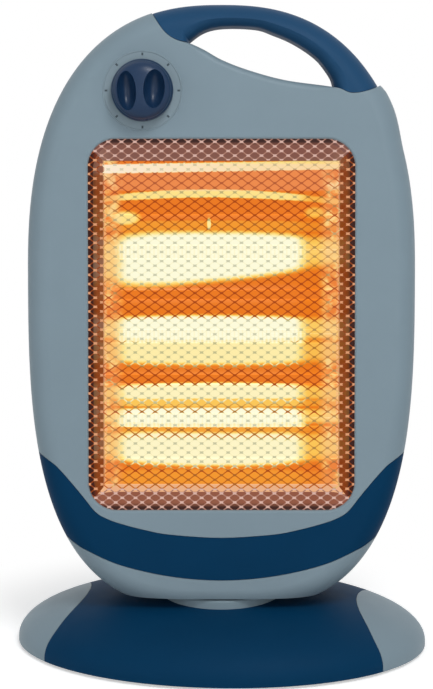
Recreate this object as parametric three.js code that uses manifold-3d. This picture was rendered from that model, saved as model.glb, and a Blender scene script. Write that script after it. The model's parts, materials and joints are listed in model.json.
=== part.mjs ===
// Halogen heater: an oval reflector head with a carrying handle, which leans back and swings on an oval domed base.
// Millimetres, +Z up, front towards -Y. The origin is on the floor under the centre of the base.
//
// The head is drawn in its own leaned frame: x across, y depth behind the front face, z height along the face.
// The base is drawn square to its own front and then turned a little, as the heater has swung away from it.

import * as THREE from 'three';
import { mergeVertices } from 'three/addons/utils/BufferGeometryUtils.js';
import Module from 'manifold-3d';

const wasm = await Module();
wasm.setup();

// ---------------------------------------------------------------- driving dimensions

const CLEARANCE = 0.3; // between pieces that seat on each other
const BIG = 400; // reach of cutting solids

// stance
const LEAN = 8; // degrees that the head leans back
const BASE_TURN = -5.5; // degrees that the base front points away from the head front
const HEAD_FRONT = 45; // front face ahead of the swivel axis at its foot
const HEAD_FOOT = 44.5; // height of the head's flat underside

// head outline: two half superellipses that meet at its widest level
const HEAD_HALF_WIDTH = 136.5;
const HEAD_WIDEST = 230;
const HEAD_UPPER = 188;
const HEAD_LOWER = 235;
const UPPER_POWER = 2.45;
const LOWER_POWER = 3;
const OUTLINE_POINTS = 44;

// head shells
const WALL = 3;
const EDGE_ROUND = 16; // how far the front edge's round reaches in from the outline
const EDGE_DEPTH = 18; // how deep that round is
const FRONT_DEPTH = 46; // front shell's depth, to the parting line
const REAR_DEPTH = 62; // rear shell's depth
const REAR_FLAT = 0.42; // size of the flat back against the outline
const REAR_POWER = 1.9;
const REAR_DROP = 12; // how far the flat back sits below the outline's centre

// smile-shaped trim under the window
const TRIM_THICKNESS = 1.2;
const TRIM_TOP = [[0, 46.2], [36, 48.2], [68.8, 55.8], [82, 61.5], [93.5, 72.9], [110, 92.1], [126, 105], [150, 118]];
const TRIM_BOTTOM = [[0, 18.1], [36, 20.8], [68.8, 28.4], [93.5, 39.3], [112, 51], [150, 76]];

// saddle line where the grey body ends and the handle's feet and the hand hole begin, and the handle's inner edge
const SADDLE = [[-60, 432], [-48, 410], [-39.5, 397.5], [-31, 391.8], [-22.7, 390], [-12.2, 385.3], [0.3, 378.3],
  [18.5, 371.3], [44.4, 364.3], [78, 359.5], [92, 355.2], [109.4, 360], [126, 373]];
const HANDLE_INSIDE = [[-22.7, 391], [-13.6, 397.5], [-3, 400.8], [12, 402], [26, 400.5], [36, 396.5], [47, 391.5],
  [57.7, 385.3], [66.8, 378.3], [72.4, 371.3], [76.6, 364.3], [78, 358]];
const SADDLE_STEPS = 30;
const HANDLE_DEPTH = 50;
const HANDLE_SPLIT = 25; // depth of the joint between the handle's two halves
const HANDLE_BEVEL = 6;

// window and grille
const WINDOW_WIDTH = 180;
const WINDOW_HEIGHT = 255;
const WINDOW_CENTRE = 193;
const WINDOW_CORNER = 19;
const WINDOW_BEVEL = 1.6;
const GRILLE_BORDER = 5;
const CORNER_STEPS = 4;
const GRILLE_THICKNESS = 1;
const GRILLE_PITCH_X = 36;
const GRILLE_PITCH_Z = 24.8;
const GRILLE_STRAND = 2;

// reflector, with one trough for each tube
const TUBE_COUNT = 3;
const TUBE_PITCH = 60;
const TUBE_CENTRE = 184; // height of the middle tube
const TUBE_RADIUS = 5;
const TUBE_DEPTH = 35;
const PAN_SHEET = 0.8;
const PAN_FLANGE = 11; // flange outside the window opening
const PAN_FLOOR = 26; // depth of the pan's floor
const PAN_FLOOR_WIDTH = 166;
const PAN_FLOOR_HEIGHT = 229;
const TROUGH_HALF = 27;
const TROUGH_DEPTH = 22;
const TROUGH_STEPS = 10;
const CAP_RADIUS = 8;
const CAP_LENGTH = 11;
const BRACKET_SHEET = 1.2;
const BRACKET_REACH = 14; // how far a bracket passes the outer tubes
const SHIELD_SHEET = 0.8;
const SHIELD_DEPTH = 56;
const SHIELD_HALF_WIDTH = 84;

// control knob and switch
const KNOB_X = -55;
const KNOB_Z = 356.8;
const KNOB_RADIUS = 21;
const KNOB_HEIGHT = 18;
const KNOB_TOP_RADIUS = 19;
const KNOB_SCOOP = [6.6, 9.5, 13]; // half sizes of a finger recess
const KNOB_SCOOP_OFFSET = 9.6;
const KNOB_LIFT = 1; // gap between the knob and the face
const SPINDLE_RADIUS = 3;
const SWITCH_SIZE = 28;
const SWITCH_DEPTH = 22;

// screws that join the two shells
const SCREW_X = 110;
const SCREW_LOW = 118;
const SCREW_HIGH = 285;
const SCREW_RADIUS = 1.6;
const SCREW_HEAD_RADIUS = 3.6;
const SCREW_HEAD = 2.4;
const PILLAR_RADIUS = 5.5;
const SCREW_SEAT = 57; // depth of the seats for the screw heads
const SCREW_GRIP = 14; // screw length in the front boss

// rear vents
const VENT_ROWS = 7;
const VENT_PITCH = 10;
const VENT_WIDTH = 76;
const VENT_SLOT = 4;
const VENT_GROUPS = [222, 108]; // heights of the two groups' centres

// base
const BASE_HALF_WIDTH = 147.5;
const BASE_HALF_DEPTH = 110;
const BASE_UNDERSIDE = 2;
const BASE_RIM = 4.5; // height where the dome begins
const BASE_TOP = 38;
const BASE_WALL = 3.2;
const BASE_POINTS = 36;
const COVER_THICKNESS = 1.4;
const COVER_WAIST_Y = 9;
const COVER_EDGE = [[93.4, 0], [97.7, 32.5], [108, 60], [118, 76], [130, 92]]; // half width against distance from waist
const PLATE_SHEET = 2;
const FOOT_RADIUS = 10;
const FOOT_X = 100;
const FOOT_Y = 52;
const FOOT_HEIGHT = 2;
const BASE_SCREW_X = 72;
const BASE_SCREW_Y = 66;

// swivel
const COLLAR_RADIUS = 43;
const WASHER_SHEET = 0.6;
const SPIGOT_RADIUS = 15;
const SPIGOT_BORE = 10;
const SPIGOT_FLANGE = 25;
const SPIGOT_FLANGE_SHEET = 2.5;
const BUSH_WALL = 2;
const HUB_WALL = 3.5;

// oscillation drive: crank, link and arm
const CRANK_THROW = 8;
const ARM_RADIUS = 14;
const LINK_REACH = 52; // crank centre behind the swivel axis
const MOTOR_RADIUS = 25;
const MOTOR_HEIGHT = 14.5;
const SHAFT_RADIUS = 3;
const CRANK_RADIUS = 11.5;
const DRIVE_SHEET = 2.4; // thickness of crank disc, link and arm
const PIN_RADIUS = 2.4;
const LINK_WIDTH = 7;
const EYE_RADIUS = 5.5;

// tip-over switch
const TIP_X = -62;
const TIP_Y = -36;
const TIP_STROKE = 4;
const TIP_RADIUS = 4.5;

// cord gland
const GLAND_RADIUS = 6;
const GLAND_BORE = 3.4;
const GLAND_HEIGHT = 13;

// ---------------------------------------------------------------- materials

const finish = (color, roughness, metalness = 0) => new THREE.MeshStandardMaterial({ color, roughness, metalness });
const greyPlastic = finish(0x86959f, 0.5);
const bluePlastic = finish(0x0b3457, 0.42);
const handlePlastic = finish(0x1d4260, 0.45);
const knobPlastic = finish(0x10264a, 0.25);
const innerPlastic = finish(0xd8d4c8, 0.6);
const blackRubber = finish(0x161616, 0.85);
const polishedAluminium = finish(0xd8c8b8, 0.18, 1);
const plainSteel = finish(0x9a9c9e, 0.38, 1);
const wireSteel = finish(0x77706a, 0.4, 1);
const quartz = finish(0xffb060, 0.08);
const ceramic = finish(0xe9e4d8, 0.55);
const motorCan = finish(0x8f9296, 0.4, 0.8);
const brass = finish(0xb89a56, 0.35, 1);

// ---------------------------------------------------------------- solids

// A closed geometry as a solid that can be joined and cut.
function solid(geometry) {
  const bare = geometry.clone();
  bare.deleteAttribute('normal');
  bare.deleteAttribute('uv');
  const merged = mergeVertices(bare, 1e-4);
  const triVerts = Uint32Array.from(merged.index.array);
  return new wasm.Manifold(new wasm.Mesh({ numProp: 3, vertProperties: merged.attributes.position.array, triVerts }));
}

function piece(name, form, material) {
  const { vertProperties, triVerts } = form.getMesh();
  const geometry = new THREE.BufferGeometry();
  geometry.setAttribute('position', new THREE.BufferAttribute(Float32Array.from(vertProperties), 3));
  geometry.setIndex(Array.from(triVerts));
  geometry.computeVertexNormals();
  const mesh = new THREE.Mesh(geometry, material);
  mesh.name = name;
  return mesh;
}

// Rings of points joined into a closed skin, with a fan over each end. Every ring has as many points.
function loft(rings) {
  const count = rings[0].length;
  const positions = rings.flat(2);
  const faces = [];
  for (let ring = 0; ring + 1 < rings.length; ring++) {
    for (let i = 0; i < count; i++) {
      const a = ring * count + i;
      const b = ring * count + (i + 1) % count;
      faces.push(a, b, b + count, a, b + count, a + count);
    }
  }
  const ends = [rings[0], rings[rings.length - 1]];
  ends.forEach((ring, end) => {
    const hub = positions.length / 3;
    for (let axis = 0; axis < 3; axis++) {
      positions.push(ring.reduce((sum, point) => sum + point[axis], 0) / count);
    }
    const first = end === 0 ? 0 : (rings.length - 1) * count;
    for (let i = 0; i < count; i++) {
      const a = first + i;
      const b = first + (i + 1) % count;
      faces.push(...(end === 0 ? [hub, b, a] : [hub, a, b]));
    }
  });
  return solid(facingOut(positions, faces));
}

function facingOut(positions, faces) {
  const corner = (index) => new THREE.Vector3(...positions.slice(3 * index, 3 * index + 3));
  let volume = 0;
  for (let i = 0; i < faces.length; i += 3) {
    const [a, b, c] = [corner(faces[i]), corner(faces[i + 1]), corner(faces[i + 2])];
    volume += a.dot(b.cross(c));
  }
  if (volume < 0) {
    faces.reverse();
  }
  const geometry = new THREE.BufferGeometry();
  geometry.setAttribute('position', new THREE.Float32BufferAttribute(positions, 3));
  geometry.setIndex(faces);
  return geometry;
}

const shapeOf = (points) => new THREE.Shape(points.map(([x, y]) => new THREE.Vector2(x, y)));

// A flat outline in x and z, from one depth to another.
function slab(shape, front, back) {
  const geometry = new THREE.ExtrudeGeometry(shape, { depth: back - front, bevelEnabled: false, curveSegments: 6 });
  return solid(geometry.rotateX(Math.PI / 2).translate(0, back, 0));
}

// A flat outline in x and y, from one height to another.
function plate(shape, bottom, top) {
  const geometry = new THREE.ExtrudeGeometry(shape, { depth: top - bottom, bevelEnabled: false, curveSegments: 8 });
  return solid(geometry.translate(0, 0, bottom));
}

// A section in depth and height, drawn across the width.
function across(section, left, right) {
  const geometry = new THREE.ExtrudeGeometry(shapeOf(section), { depth: right - left, bevelEnabled: false });
  const turn = new THREE.Matrix4().makeBasis(
    new THREE.Vector3(0, 1, 0), new THREE.Vector3(0, 0, 1), new THREE.Vector3(1, 0, 0));
  return solid(geometry.applyMatrix4(turn).translate(left, 0, 0));
}

function block(x0, x1, y0, y1, z0, z1) {
  const geometry = new THREE.BoxGeometry(x1 - x0, y1 - y0, z1 - z0);
  return solid(geometry.translate((x0 + x1) / 2, (y0 + y1) / 2, (z0 + z1) / 2));
}

// A turned form: radius against height from the first point to the last, standing on x, y.
function turned(profile, x = 0, y = 0, sides = 24) {
  const points = profile.map(([radius, height]) => new THREE.Vector2(radius, height));
  return solid(new THREE.LatheGeometry(points, sides).rotateX(Math.PI / 2).translate(x, y, 0));
}

const post = (radius, bottom, top, x = 0, y = 0, sides = 24) =>
  turned([[0, bottom], [radius, bottom], [radius, top], [0, top]], x, y, sides);

// The same with its axis along the depth, at a place on the head's face.
function turnedBack(profile, x, z, sides = 20) {
  const points = profile.map(([radius, depth]) => new THREE.Vector2(radius, depth));
  return solid(new THREE.LatheGeometry(points, sides).translate(x, 0, z));
}

const pegBack = (radius, front, back, x, z, sides = 20) =>
  turnedBack([[0, front], [radius, front], [radius, back], [0, back]], x, z, sides);

function roundedRectangle(width, height, radius, centre) {
  const [w, h] = [width / 2, height / 2];
  const shape = new THREE.Shape();
  shape.moveTo(w - radius, centre - h);
  shape.absarc(w - radius, centre - h + radius, radius, -Math.PI / 2, 0);
  shape.absarc(w - radius, centre + h - radius, radius, 0, Math.PI / 2);
  shape.absarc(radius - w, centre + h - radius, radius, Math.PI / 2, Math.PI);
  shape.absarc(radius - w, centre - h + radius, radius, Math.PI, 1.5 * Math.PI);
  return shape;
}

// Points along a smooth curve, moved sideways to its left.
function beside(knots, offset, steps) {
  const curve = new THREE.SplineCurve(knots.map(([x, y]) => new THREE.Vector2(x, y)));
  return Array.from({ length: steps + 1 }, (_, i) => {
    const point = curve.getPoint(i / steps);
    const along = curve.getTangent(i / steps);
    return [point.x - along.y * offset, point.y + along.x * offset];
  });
}

const mirrored = (points) => [...points.slice(1).reverse().map(([x, y]) => [-x, y]), ...points];
const degrees = THREE.MathUtils.degToRad;

// ---------------------------------------------------------------- head forms

// The head's outline at a depth: moved in by inset, then drawn smaller about its centre, which may sit lower.
function outlineRing(depth, inset, size = 1, drop = 0) {
  return Array.from({ length: OUTLINE_POINTS }, (_, i) => {
    const angle = 2 * Math.PI * i / OUTLINE_POINTS;
    const upper = Math.sin(angle) >= 0;
    const reach = upper ? HEAD_UPPER : HEAD_LOWER;
    const power = upper ? UPPER_POWER : LOWER_POWER;
    const bend = (value) => Math.sign(value) * Math.abs(value) ** (2 / power);
    const x = HEAD_HALF_WIDTH * bend(Math.cos(angle));
    const z = reach * bend(Math.sin(angle));
    const slope = (value, half) => Math.sign(value) * Math.abs(value / half) ** (power - 1) / half;
    const normal = new THREE.Vector2(slope(x, HEAD_HALF_WIDTH), slope(z, reach)).normalize();
    return [(x - normal.x * inset) * size, depth, HEAD_WIDEST - drop + (z - normal.y * inset) * size];
  });
}

// Rings of the front shell's rounded edge, shrunk by a thickness.
function frontRings(shrink, back) {
  const rings = [0, 30, 60, 90].map((angle) => outlineRing(
    EDGE_DEPTH - (EDGE_DEPTH - shrink) * Math.cos(degrees(angle)),
    EDGE_ROUND - (EDGE_ROUND - shrink) * Math.sin(degrees(angle))));
  return [...rings, outlineRing(back, shrink)];
}

// Rings of the rear shell's dome, shrunk by a thickness.
function rearRings(shrink, start) {
  const rings = [outlineRing(start, shrink)];
  for (const share of [0.4, 0.7, 0.9, 1]) {
    const size = REAR_FLAT + (1 - REAR_FLAT) * (1 - share ** REAR_POWER) ** (1 / REAR_POWER);
    const depth = FRONT_DEPTH + (REAR_DEPTH - shrink) * share;
    rings.push(outlineRing(depth, shrink, size, REAR_DROP * share));
  }
  return rings;
}

// Everything under the head's flat underside, which is level when the head leans back.
function belowUnderside(height) {
  const rise = Math.tan(degrees(LEAN));
  const lift = height / Math.cos(degrees(LEAN));
  return across([[-BIG, -BIG], [BIG, -BIG], [BIG, BIG * rise + lift], [-BIG, -BIG * rise + lift]], -BIG, BIG);
}

// Everything above the saddle line, moved down by an amount.
function aboveSaddle(lower) {
  const line = beside(SADDLE, -lower, SADDLE_STEPS);
  return slab(shapeOf([...line, [BIG, line[SADDLE_STEPS][1]], [BIG, 2 * BIG], [-BIG, 2 * BIG], [-BIG, line[0][1]]]), -BIG, BIG);
}

function trimBand(grow) {
  const top = beside(mirrored(TRIM_TOP), grow, 28);
  const bottom = beside(mirrored(TRIM_BOTTOM), -grow, 28);
  return slab(shapeOf([...bottom, ...top.reverse()]), -BIG, BIG);
}

const windowShape = (grow) => roundedRectangle(
  WINDOW_WIDTH + 2 * grow, WINDOW_HEIGHT + 2 * grow, WINDOW_CORNER + grow, WINDOW_CENTRE);

// The window's hole with its bevelled edge.
function windowCut() {
  const ring = (depth, grow) => windowShape(grow).extractPoints(CORNER_STEPS).shape.map(({ x, y }) => [x, depth, y]);
  return loft([ring(-1, WINDOW_BEVEL + 1), ring(WINDOW_BEVEL, 0), ring(WALL + 1, 0)]);
}

const screwPlaces = [[-SCREW_X, SCREW_LOW], [SCREW_X, SCREW_LOW], [-SCREW_X, SCREW_HIGH], [SCREW_X, SCREW_HIGH]];

// A place on the swivel axis in the head's leaned frame, for cuts that follow the axis.
function onSwivelAxis(form) {
  return form.translate([0, HEAD_FRONT, 0]).rotate([LEAN, 0, 0]);
}

// ---------------------------------------------------------------- head pieces

function frontHousing() {
  let shell = loft(frontRings(0, FRONT_DEPTH)).subtract(belowUnderside(0)).subtract(aboveSaddle(0));
  const hollow = loft(frontRings(WALL, FRONT_DEPTH + 1)).subtract(belowUnderside(WALL)).subtract(aboveSaddle(WALL));
  shell = shell.subtract(hollow);
  for (const [x, z] of screwPlaces) {
    const boss = pegBack(PILLAR_RADIUS, WALL - 1, FRONT_DEPTH, x, z, 12);
    shell = shell.add(boss.intersect(loft(frontRings(1, FRONT_DEPTH))));
    const hole = pegBack(SCREW_RADIUS + CLEARANCE, FRONT_DEPTH - SCREW_GRIP - 1, FRONT_DEPTH + 1, x, z, 8);
    shell = shell.subtract(hole);
  }
  const recessFloor = loft(frontRings(TRIM_THICKNESS + CLEARANCE, FRONT_DEPTH + 2));
  const recess = trimBand(CLEARANCE).subtract(recessFloor);
  const spindleHole = pegBack(SPINDLE_RADIUS + 1, -1, WALL + 1, KNOB_X, KNOB_Z, 20);
  shell = shell.subtract(recess).subtract(windowCut()).subtract(spindleHole);
  return piece('front_housing', shell.subtract(onSwivelAxis(post(SPIGOT_RADIUS + 0.5, -BIG, BIG / 2))), greyPlastic);
}

function frontTrim() {
  const skin = loft(frontRings(0, FRONT_DEPTH)).subtract(loft(frontRings(TRIM_THICKNESS, FRONT_DEPTH + 1)));
  return piece('front_trim', skin.intersect(trimBand(0)).subtract(belowUnderside(0)), bluePlastic);
}

function rearHousing() {
  const start = FRONT_DEPTH + CLEARANCE;
  let shell = loft(rearRings(0, start)).subtract(belowUnderside(0)).subtract(aboveSaddle(0));
  const hollow = loft(rearRings(WALL, start - 1)).subtract(belowUnderside(WALL)).subtract(aboveSaddle(WALL));
  shell = shell.subtract(hollow);
  for (const [x, z] of screwPlaces) {
    const pillar = pegBack(PILLAR_RADIUS, start, start + REAR_DEPTH, x, z, 12);
    const well = pegBack(SCREW_HEAD_RADIUS + CLEARANCE, SCREW_SEAT, BIG, x, z, 10);
    const hole = pegBack(SCREW_RADIUS + CLEARANCE, 0, BIG, x, z, 8);
    shell = shell.add(pillar.intersect(loft(rearRings(1, start)))).subtract(well).subtract(hole);
  }
  for (const centre of VENT_GROUPS) {
    for (let row = 0; row < VENT_ROWS; row++) {
      const z = centre + (row - (VENT_ROWS - 1) / 2) * VENT_PITCH;
      const [w, h] = [VENT_WIDTH / 2, VENT_SLOT / 2];
      const slot = shapeOf([[-w, z], [h - w, z - h], [w - h, z - h], [w, z], [w - h, z + h], [h - w, z + h]]);
      shell = shell.subtract(slab(slot, start + REAR_DEPTH / 2, BIG));
    }
  }
  return piece('rear_housing', shell.subtract(onSwivelAxis(post(SPIGOT_RADIUS + 0.5, -BIG, BIG / 2))), greyPlastic);
}

// The handle follows the head's outline; its inner edge is bevelled front and back, and it is split in two halves.
function handleForm() {
  const half = HANDLE_DEPTH / 2;
  const rings = [0, 30, 60, 90].map((angle) => [
    EDGE_DEPTH * (1 - Math.cos(degrees(angle))), EDGE_ROUND * (1 - Math.sin(degrees(angle)))]);
  const outer = loft([
    ...rings.map(([depth, inset]) => outlineRing(depth, inset)),
    ...rings.reverse().map(([depth, inset]) => outlineRing(HANDLE_DEPTH - depth * half / EDGE_DEPTH * 0.9, inset)),
  ]);
  const holeRing = (depth, grow) => {
    const line = beside(HANDLE_INSIDE, grow, 24);
    const floor = SADDLE[9][1] - 2 * HANDLE_BEVEL;
    return [...line, [line[24][0], floor], [line[0][0], floor]].map(([x, z]) => [x, depth, z]);
  };
  const hole = loft([
    holeRing(-1, HANDLE_BEVEL + 1), holeRing(HANDLE_BEVEL, 1), holeRing(1.7 * HANDLE_BEVEL, 0),
    holeRing(HANDLE_DEPTH - 1.7 * HANDLE_BEVEL, 0), holeRing(HANDLE_DEPTH - HANDLE_BEVEL, 1),
    holeRing(HANDLE_DEPTH + 1, HANDLE_BEVEL + 1)]);
  return outer.intersect(aboveSaddle(-CLEARANCE)).subtract(hole);
}

function handleHalves() {
  const form = handleForm();
  const front = form.intersect(block(-BIG, BIG, -BIG, HANDLE_SPLIT - CLEARANCE / 2, -BIG, 2 * BIG));
  const rear = form.intersect(block(-BIG, BIG, HANDLE_SPLIT + CLEARANCE / 2, BIG, -BIG, 2 * BIG));
  return [piece('handle_front', front, handlePlastic), piece('handle_rear', rear, handlePlastic)];
}

// Diamond mesh stretched in a flat border behind the window's edge.
function grille() {
  const front = WALL + CLEARANCE;
  const [w, h] = [GRILLE_PITCH_X / 2, GRILLE_PITCH_Z / 2];
  const share = 1 - GRILLE_STRAND / 2 / (w * h / Math.hypot(w, h));
  const diamond = (x, z) => slab(shapeOf(
    [[x - w * share, z], [x, z - h * share], [x + w * share, z], [x, z + h * share]]), front - 1, front + 2);
  const columns = Math.ceil(WINDOW_WIDTH / 2 / w);
  const rows = Math.ceil(WINDOW_HEIGHT / 2 / h);
  const gaps = [];
  for (let column = -columns; column <= columns; column++) {
    for (let row = -rows; row <= rows; row++) {
      if ((column + row) % 2 === 0) {
        gaps.push(diamond(column * w, WINDOW_CENTRE + row * h));
      }
    }
  }
  const opening = slab(windowShape(-GRILLE_STRAND), front - 2, front + 3);
  const border = slab(windowShape(GRILLE_BORDER), front, front + GRILLE_THICKNESS);
  return piece('grille', border.subtract(wasm.Manifold.union(gaps).intersect(opening)), wireSteel);
}

const panFront = WALL + CLEARANCE + GRILLE_THICKNESS + CLEARANCE;
const tubeHeights = Array.from({ length: TUBE_COUNT }, (_, i) => TUBE_CENTRE + (i - (TUBE_COUNT - 1) / 2) * TUBE_PITCH);

// The pan's inside, grown by a thickness: sloping walls down to the floor, and a trough behind each tube.
function panInside(grow, front) {
  const ring = (depth, width, height, radius) => roundedRectangle(width + 2 * grow, height + 2 * grow, radius + grow,
    WINDOW_CENTRE).extractPoints(CORNER_STEPS).shape.map(({ x, y }) => [x, depth, y]);
  let form = loft([
    ring(front, WINDOW_WIDTH, WINDOW_HEIGHT, WINDOW_CORNER),
    ring(PAN_FLOOR + grow, PAN_FLOOR_WIDTH, PAN_FLOOR_HEIGHT, 5)]);
  for (const z of tubeHeights) {
    const section = Array.from({ length: TROUGH_STEPS + 1 }, (_, i) => {
      const angle = Math.PI * i / TROUGH_STEPS;
      return [PAN_FLOOR + (TROUGH_DEPTH + grow) * Math.sin(angle), z - (TROUGH_HALF + grow) * Math.cos(angle)];
    });
    section.push([PAN_FLOOR - 1, z + TROUGH_HALF + grow], [PAN_FLOOR - 1, z - TROUGH_HALF - grow]);
    form = form.add(across(section, -PAN_FLOOR_WIDTH / 2 - grow, PAN_FLOOR_WIDTH / 2 + grow));
  }
  return form;
}

function reflector() {
  const flange = slab(windowShape(PAN_FLANGE), panFront, panFront + PAN_SHEET);
  let pan = flange.add(panInside(PAN_SHEET, panFront)).subtract(panInside(0, panFront - 1));
  for (const z of tubeHeights) {
    const end = new THREE.CylinderGeometry(TUBE_RADIUS + CLEARANCE, TUBE_RADIUS + CLEARANCE, BIG, 16);
    pan = pan.subtract(solid(end.rotateZ(Math.PI / 2).translate(0, TUBE_DEPTH, z)));
  }
  return piece('reflector', pan, polishedAluminium);
}

function alongTube(radius, left, right, z, sides = 16) {
  const geometry = new THREE.CylinderGeometry(radius, radius, right - left, sides);
  return solid(geometry.rotateZ(Math.PI / 2).translate((left + right) / 2, TUBE_DEPTH, z));
}

const capStart = PAN_FLOOR_WIDTH / 2 + PAN_SHEET + 1.5;
const capEnd = capStart + CAP_LENGTH;

// Quartz tube with a drawn-in end in each ceramic cap, and a sealing pip at its middle.
function halogenTubes() {
  return tubeHeights.map((z, i) => {
    const ends = alongTube(TUBE_RADIUS / 2, -capEnd + 3, capEnd - 3, z, 10);
    const pip = turnedBack([[0, TUBE_DEPTH - TUBE_RADIUS - 2], [1, TUBE_DEPTH - TUBE_RADIUS - 1.2],
      [1.6, TUBE_DEPTH - TUBE_RADIUS + 1], [0, TUBE_DEPTH]], -6, z, 8);
    const glass = alongTube(TUBE_RADIUS, -capStart + CLEARANCE, capStart - CLEARANCE, z);
    return piece(`halogen_tube_${i + 1}`, glass.add(ends).add(pip), quartz);
  });
}

function ceramicCaps() {
  const caps = [];
  tubeHeights.forEach((z, i) => {
    for (const [side, sign] of [['left', -1], ['right', 1]]) {
      const [inner, outer] = [sign * capStart, sign * capEnd];
      const body = alongTube(CAP_RADIUS, Math.min(inner, outer), Math.max(inner, outer), z, 16);
      const [lip, socket] = [sign * (capStart - 1), sign * (capEnd - 2)];
      const bore = alongTube(TUBE_RADIUS / 2 + CLEARANCE, Math.min(lip, socket), Math.max(lip, socket), z, 10);
      caps.push(piece(`ceramic_cap_${side}_${i + 1}`, body.subtract(bore), ceramic));
    }
  });
  return caps;
}

// Upright steel strip that carries three caps, with a foot turned on to the pan's flange.
function tubeBracket(side, sign) {
  const [low, high] = [tubeHeights[0] - BRACKET_REACH, tubeHeights[TUBE_COUNT - 1] + BRACKET_REACH];
  const front = panFront + PAN_SHEET + CLEARANCE;
  const inner = capEnd + CLEARANCE;
  const strip = block(inner, inner + BRACKET_SHEET, front, TUBE_DEPTH + CAP_RADIUS + 2, low, high);
  const foot = block(inner - 5, inner + BRACKET_SHEET, front, front + BRACKET_SHEET, low, high);
  const form = strip.add(foot.subtract(block(0, inner - 5.5, 0, BIG, 0, BIG)));
  const facing = sign > 0 ? form : form.mirror([1, 0, 0]);
  return piece(`tube_bracket_${side}`, facing, plainSteel);
}

// Folded steel tray behind the reflector, standing on its flange above and below.
function heatShield() {
  const front = panFront + PAN_SHEET + CLEARANCE;
  const reach = WINDOW_HEIGHT / 2 + PAN_FLANGE / 2;
  const [low, high] = [WINDOW_CENTRE - reach, WINDOW_CENTRE + reach];
  const t = SHIELD_SHEET;
  const section = [[front, low], [SHIELD_DEPTH - 8, low], [SHIELD_DEPTH, low + 14], [SHIELD_DEPTH, high - 14],
    [SHIELD_DEPTH - 8, high], [front, high], [front, high - t], [SHIELD_DEPTH - 8 - t / 2, high - t],
    [SHIELD_DEPTH - t, high - 14 - t / 2], [SHIELD_DEPTH - t, low + 14 + t / 2],
    [SHIELD_DEPTH - 8 - t / 2, low + t], [front, low + t]];
  return piece('heat_shield', across(section, -SHIELD_HALF_WIDTH, SHIELD_HALF_WIDTH), plainSteel);
}

function thermalCutout() {
  const back = SHIELD_DEPTH + CLEARANCE;
  const disc = turnedBack([[0, back], [8, back], [8, back + 4], [6, back + 4.5], [6, back + 9], [0, back + 9]],
    30, WINDOW_CENTRE + 60, 20);
  const ears = block(18, 42, back, back + 1.2, WINDOW_CENTRE + 57, WINDOW_CENTRE + 63);
  return piece('thermal_cutout', disc.add(ears), motorCan);
}

function terminalBlock() {
  const back = SHIELD_DEPTH + CLEARANCE;
  let form = block(-18, 18, back, back + 6, WINDOW_CENTRE - 76, WINDOW_CENTRE - 58);
  for (const x of [-12, 0, 12]) {
    form = form.add(block(x - 4.5, x + 4.5, back, back + 13, WINDOW_CENTRE - 74, WINDOW_CENTRE - 60));
    form = form.subtract(pegBack(2, back + 6, back + 20, x, WINDOW_CENTRE - 67, 10));
  }
  return piece('terminal_block', form, innerPlastic);
}

// Rotary switch clamped behind the face, with a threaded neck round the knob's spindle.
function rotarySwitch() {
  const front = WALL + CLEARANCE;
  const half = SWITCH_SIZE / 2;
  const body = block(KNOB_X - half, KNOB_X + half, front, front + SWITCH_DEPTH, KNOB_Z - half, KNOB_Z + half);
  let form = body;
  for (const x of [-8, 0, 8]) {
    const tag = block(KNOB_X + x - 2, KNOB_X + x + 2, front + SWITCH_DEPTH - 1, front + SWITCH_DEPTH + 7,
      KNOB_Z - 0.5, KNOB_Z + 0.5);
    form = form.add(tag);
  }
  const bore = pegBack(SPINDLE_RADIUS + CLEARANCE, front - 1, front + SWITCH_DEPTH / 2, KNOB_X, KNOB_Z, 20);
  return piece('rotary_switch', form.subtract(bore), innerPlastic);
}

// ---------------------------------------------------------------- knob

const knobFace = -KNOB_LIFT - KNOB_HEIGHT;

// Round knob with two finger recesses and the grip ridge left between them.
function knob() {
  const [scoopX, scoopY, scoopZ] = KNOB_SCOOP;
  let form = turnedBack([[0, knobFace], [KNOB_TOP_RADIUS - 2, knobFace], [KNOB_TOP_RADIUS, knobFace + 1.5],
    [KNOB_RADIUS - 0.5, -KNOB_LIFT - 6], [KNOB_RADIUS, -KNOB_LIFT - 4], [KNOB_RADIUS, -KNOB_LIFT], [0, -KNOB_LIFT]],
  KNOB_X, KNOB_Z, 28);
  for (const sign of [-1, 1]) {
    const scoop = new THREE.SphereGeometry(1, 12, 8).scale(scoopX, scoopY, scoopZ);
    form = form.subtract(solid(scoop.translate(KNOB_X + sign * KNOB_SCOOP_OFFSET, knobFace, KNOB_Z)));
  }
  const bore = pegBack(SPINDLE_RADIUS + CLEARANCE, knobFace + 7, 1, KNOB_X, KNOB_Z, 20);
  return piece('control_knob', form.subtract(bore), knobPlastic);
}

function knobSpindle() {
  const front = knobFace + 7 + CLEARANCE;
  const rod = pegBack(SPINDLE_RADIUS, front, WALL + CLEARANCE + SWITCH_DEPTH / 2 - CLEARANCE, KNOB_X, KNOB_Z, 20);
  const flat = block(KNOB_X - 5, KNOB_X + 5, front - 1, -KNOB_LIFT, KNOB_Z + SPINDLE_RADIUS / 2, KNOB_Z + 5);
  return piece('knob_spindle', rod.subtract(flat), brass);
}

function housingScrews() {
  const back = SCREW_SEAT - CLEARANCE;
  return screwPlaces.map(([x, z], i) => piece(`housing_screw_${i + 1}`, turnedBack(
    [[0, FRONT_DEPTH - SCREW_GRIP], [SCREW_RADIUS, FRONT_DEPTH - SCREW_GRIP + 2], [SCREW_RADIUS, back + CLEARANCE * 2],
      [SCREW_HEAD_RADIUS, back + CLEARANCE * 2], [SCREW_HEAD_RADIUS - 0.6, back + SCREW_HEAD], [0, back + SCREW_HEAD]],
    x, z, 8), plainSteel));
}

// ---------------------------------------------------------------- swivel pieces, upright on the swivel axis

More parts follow.
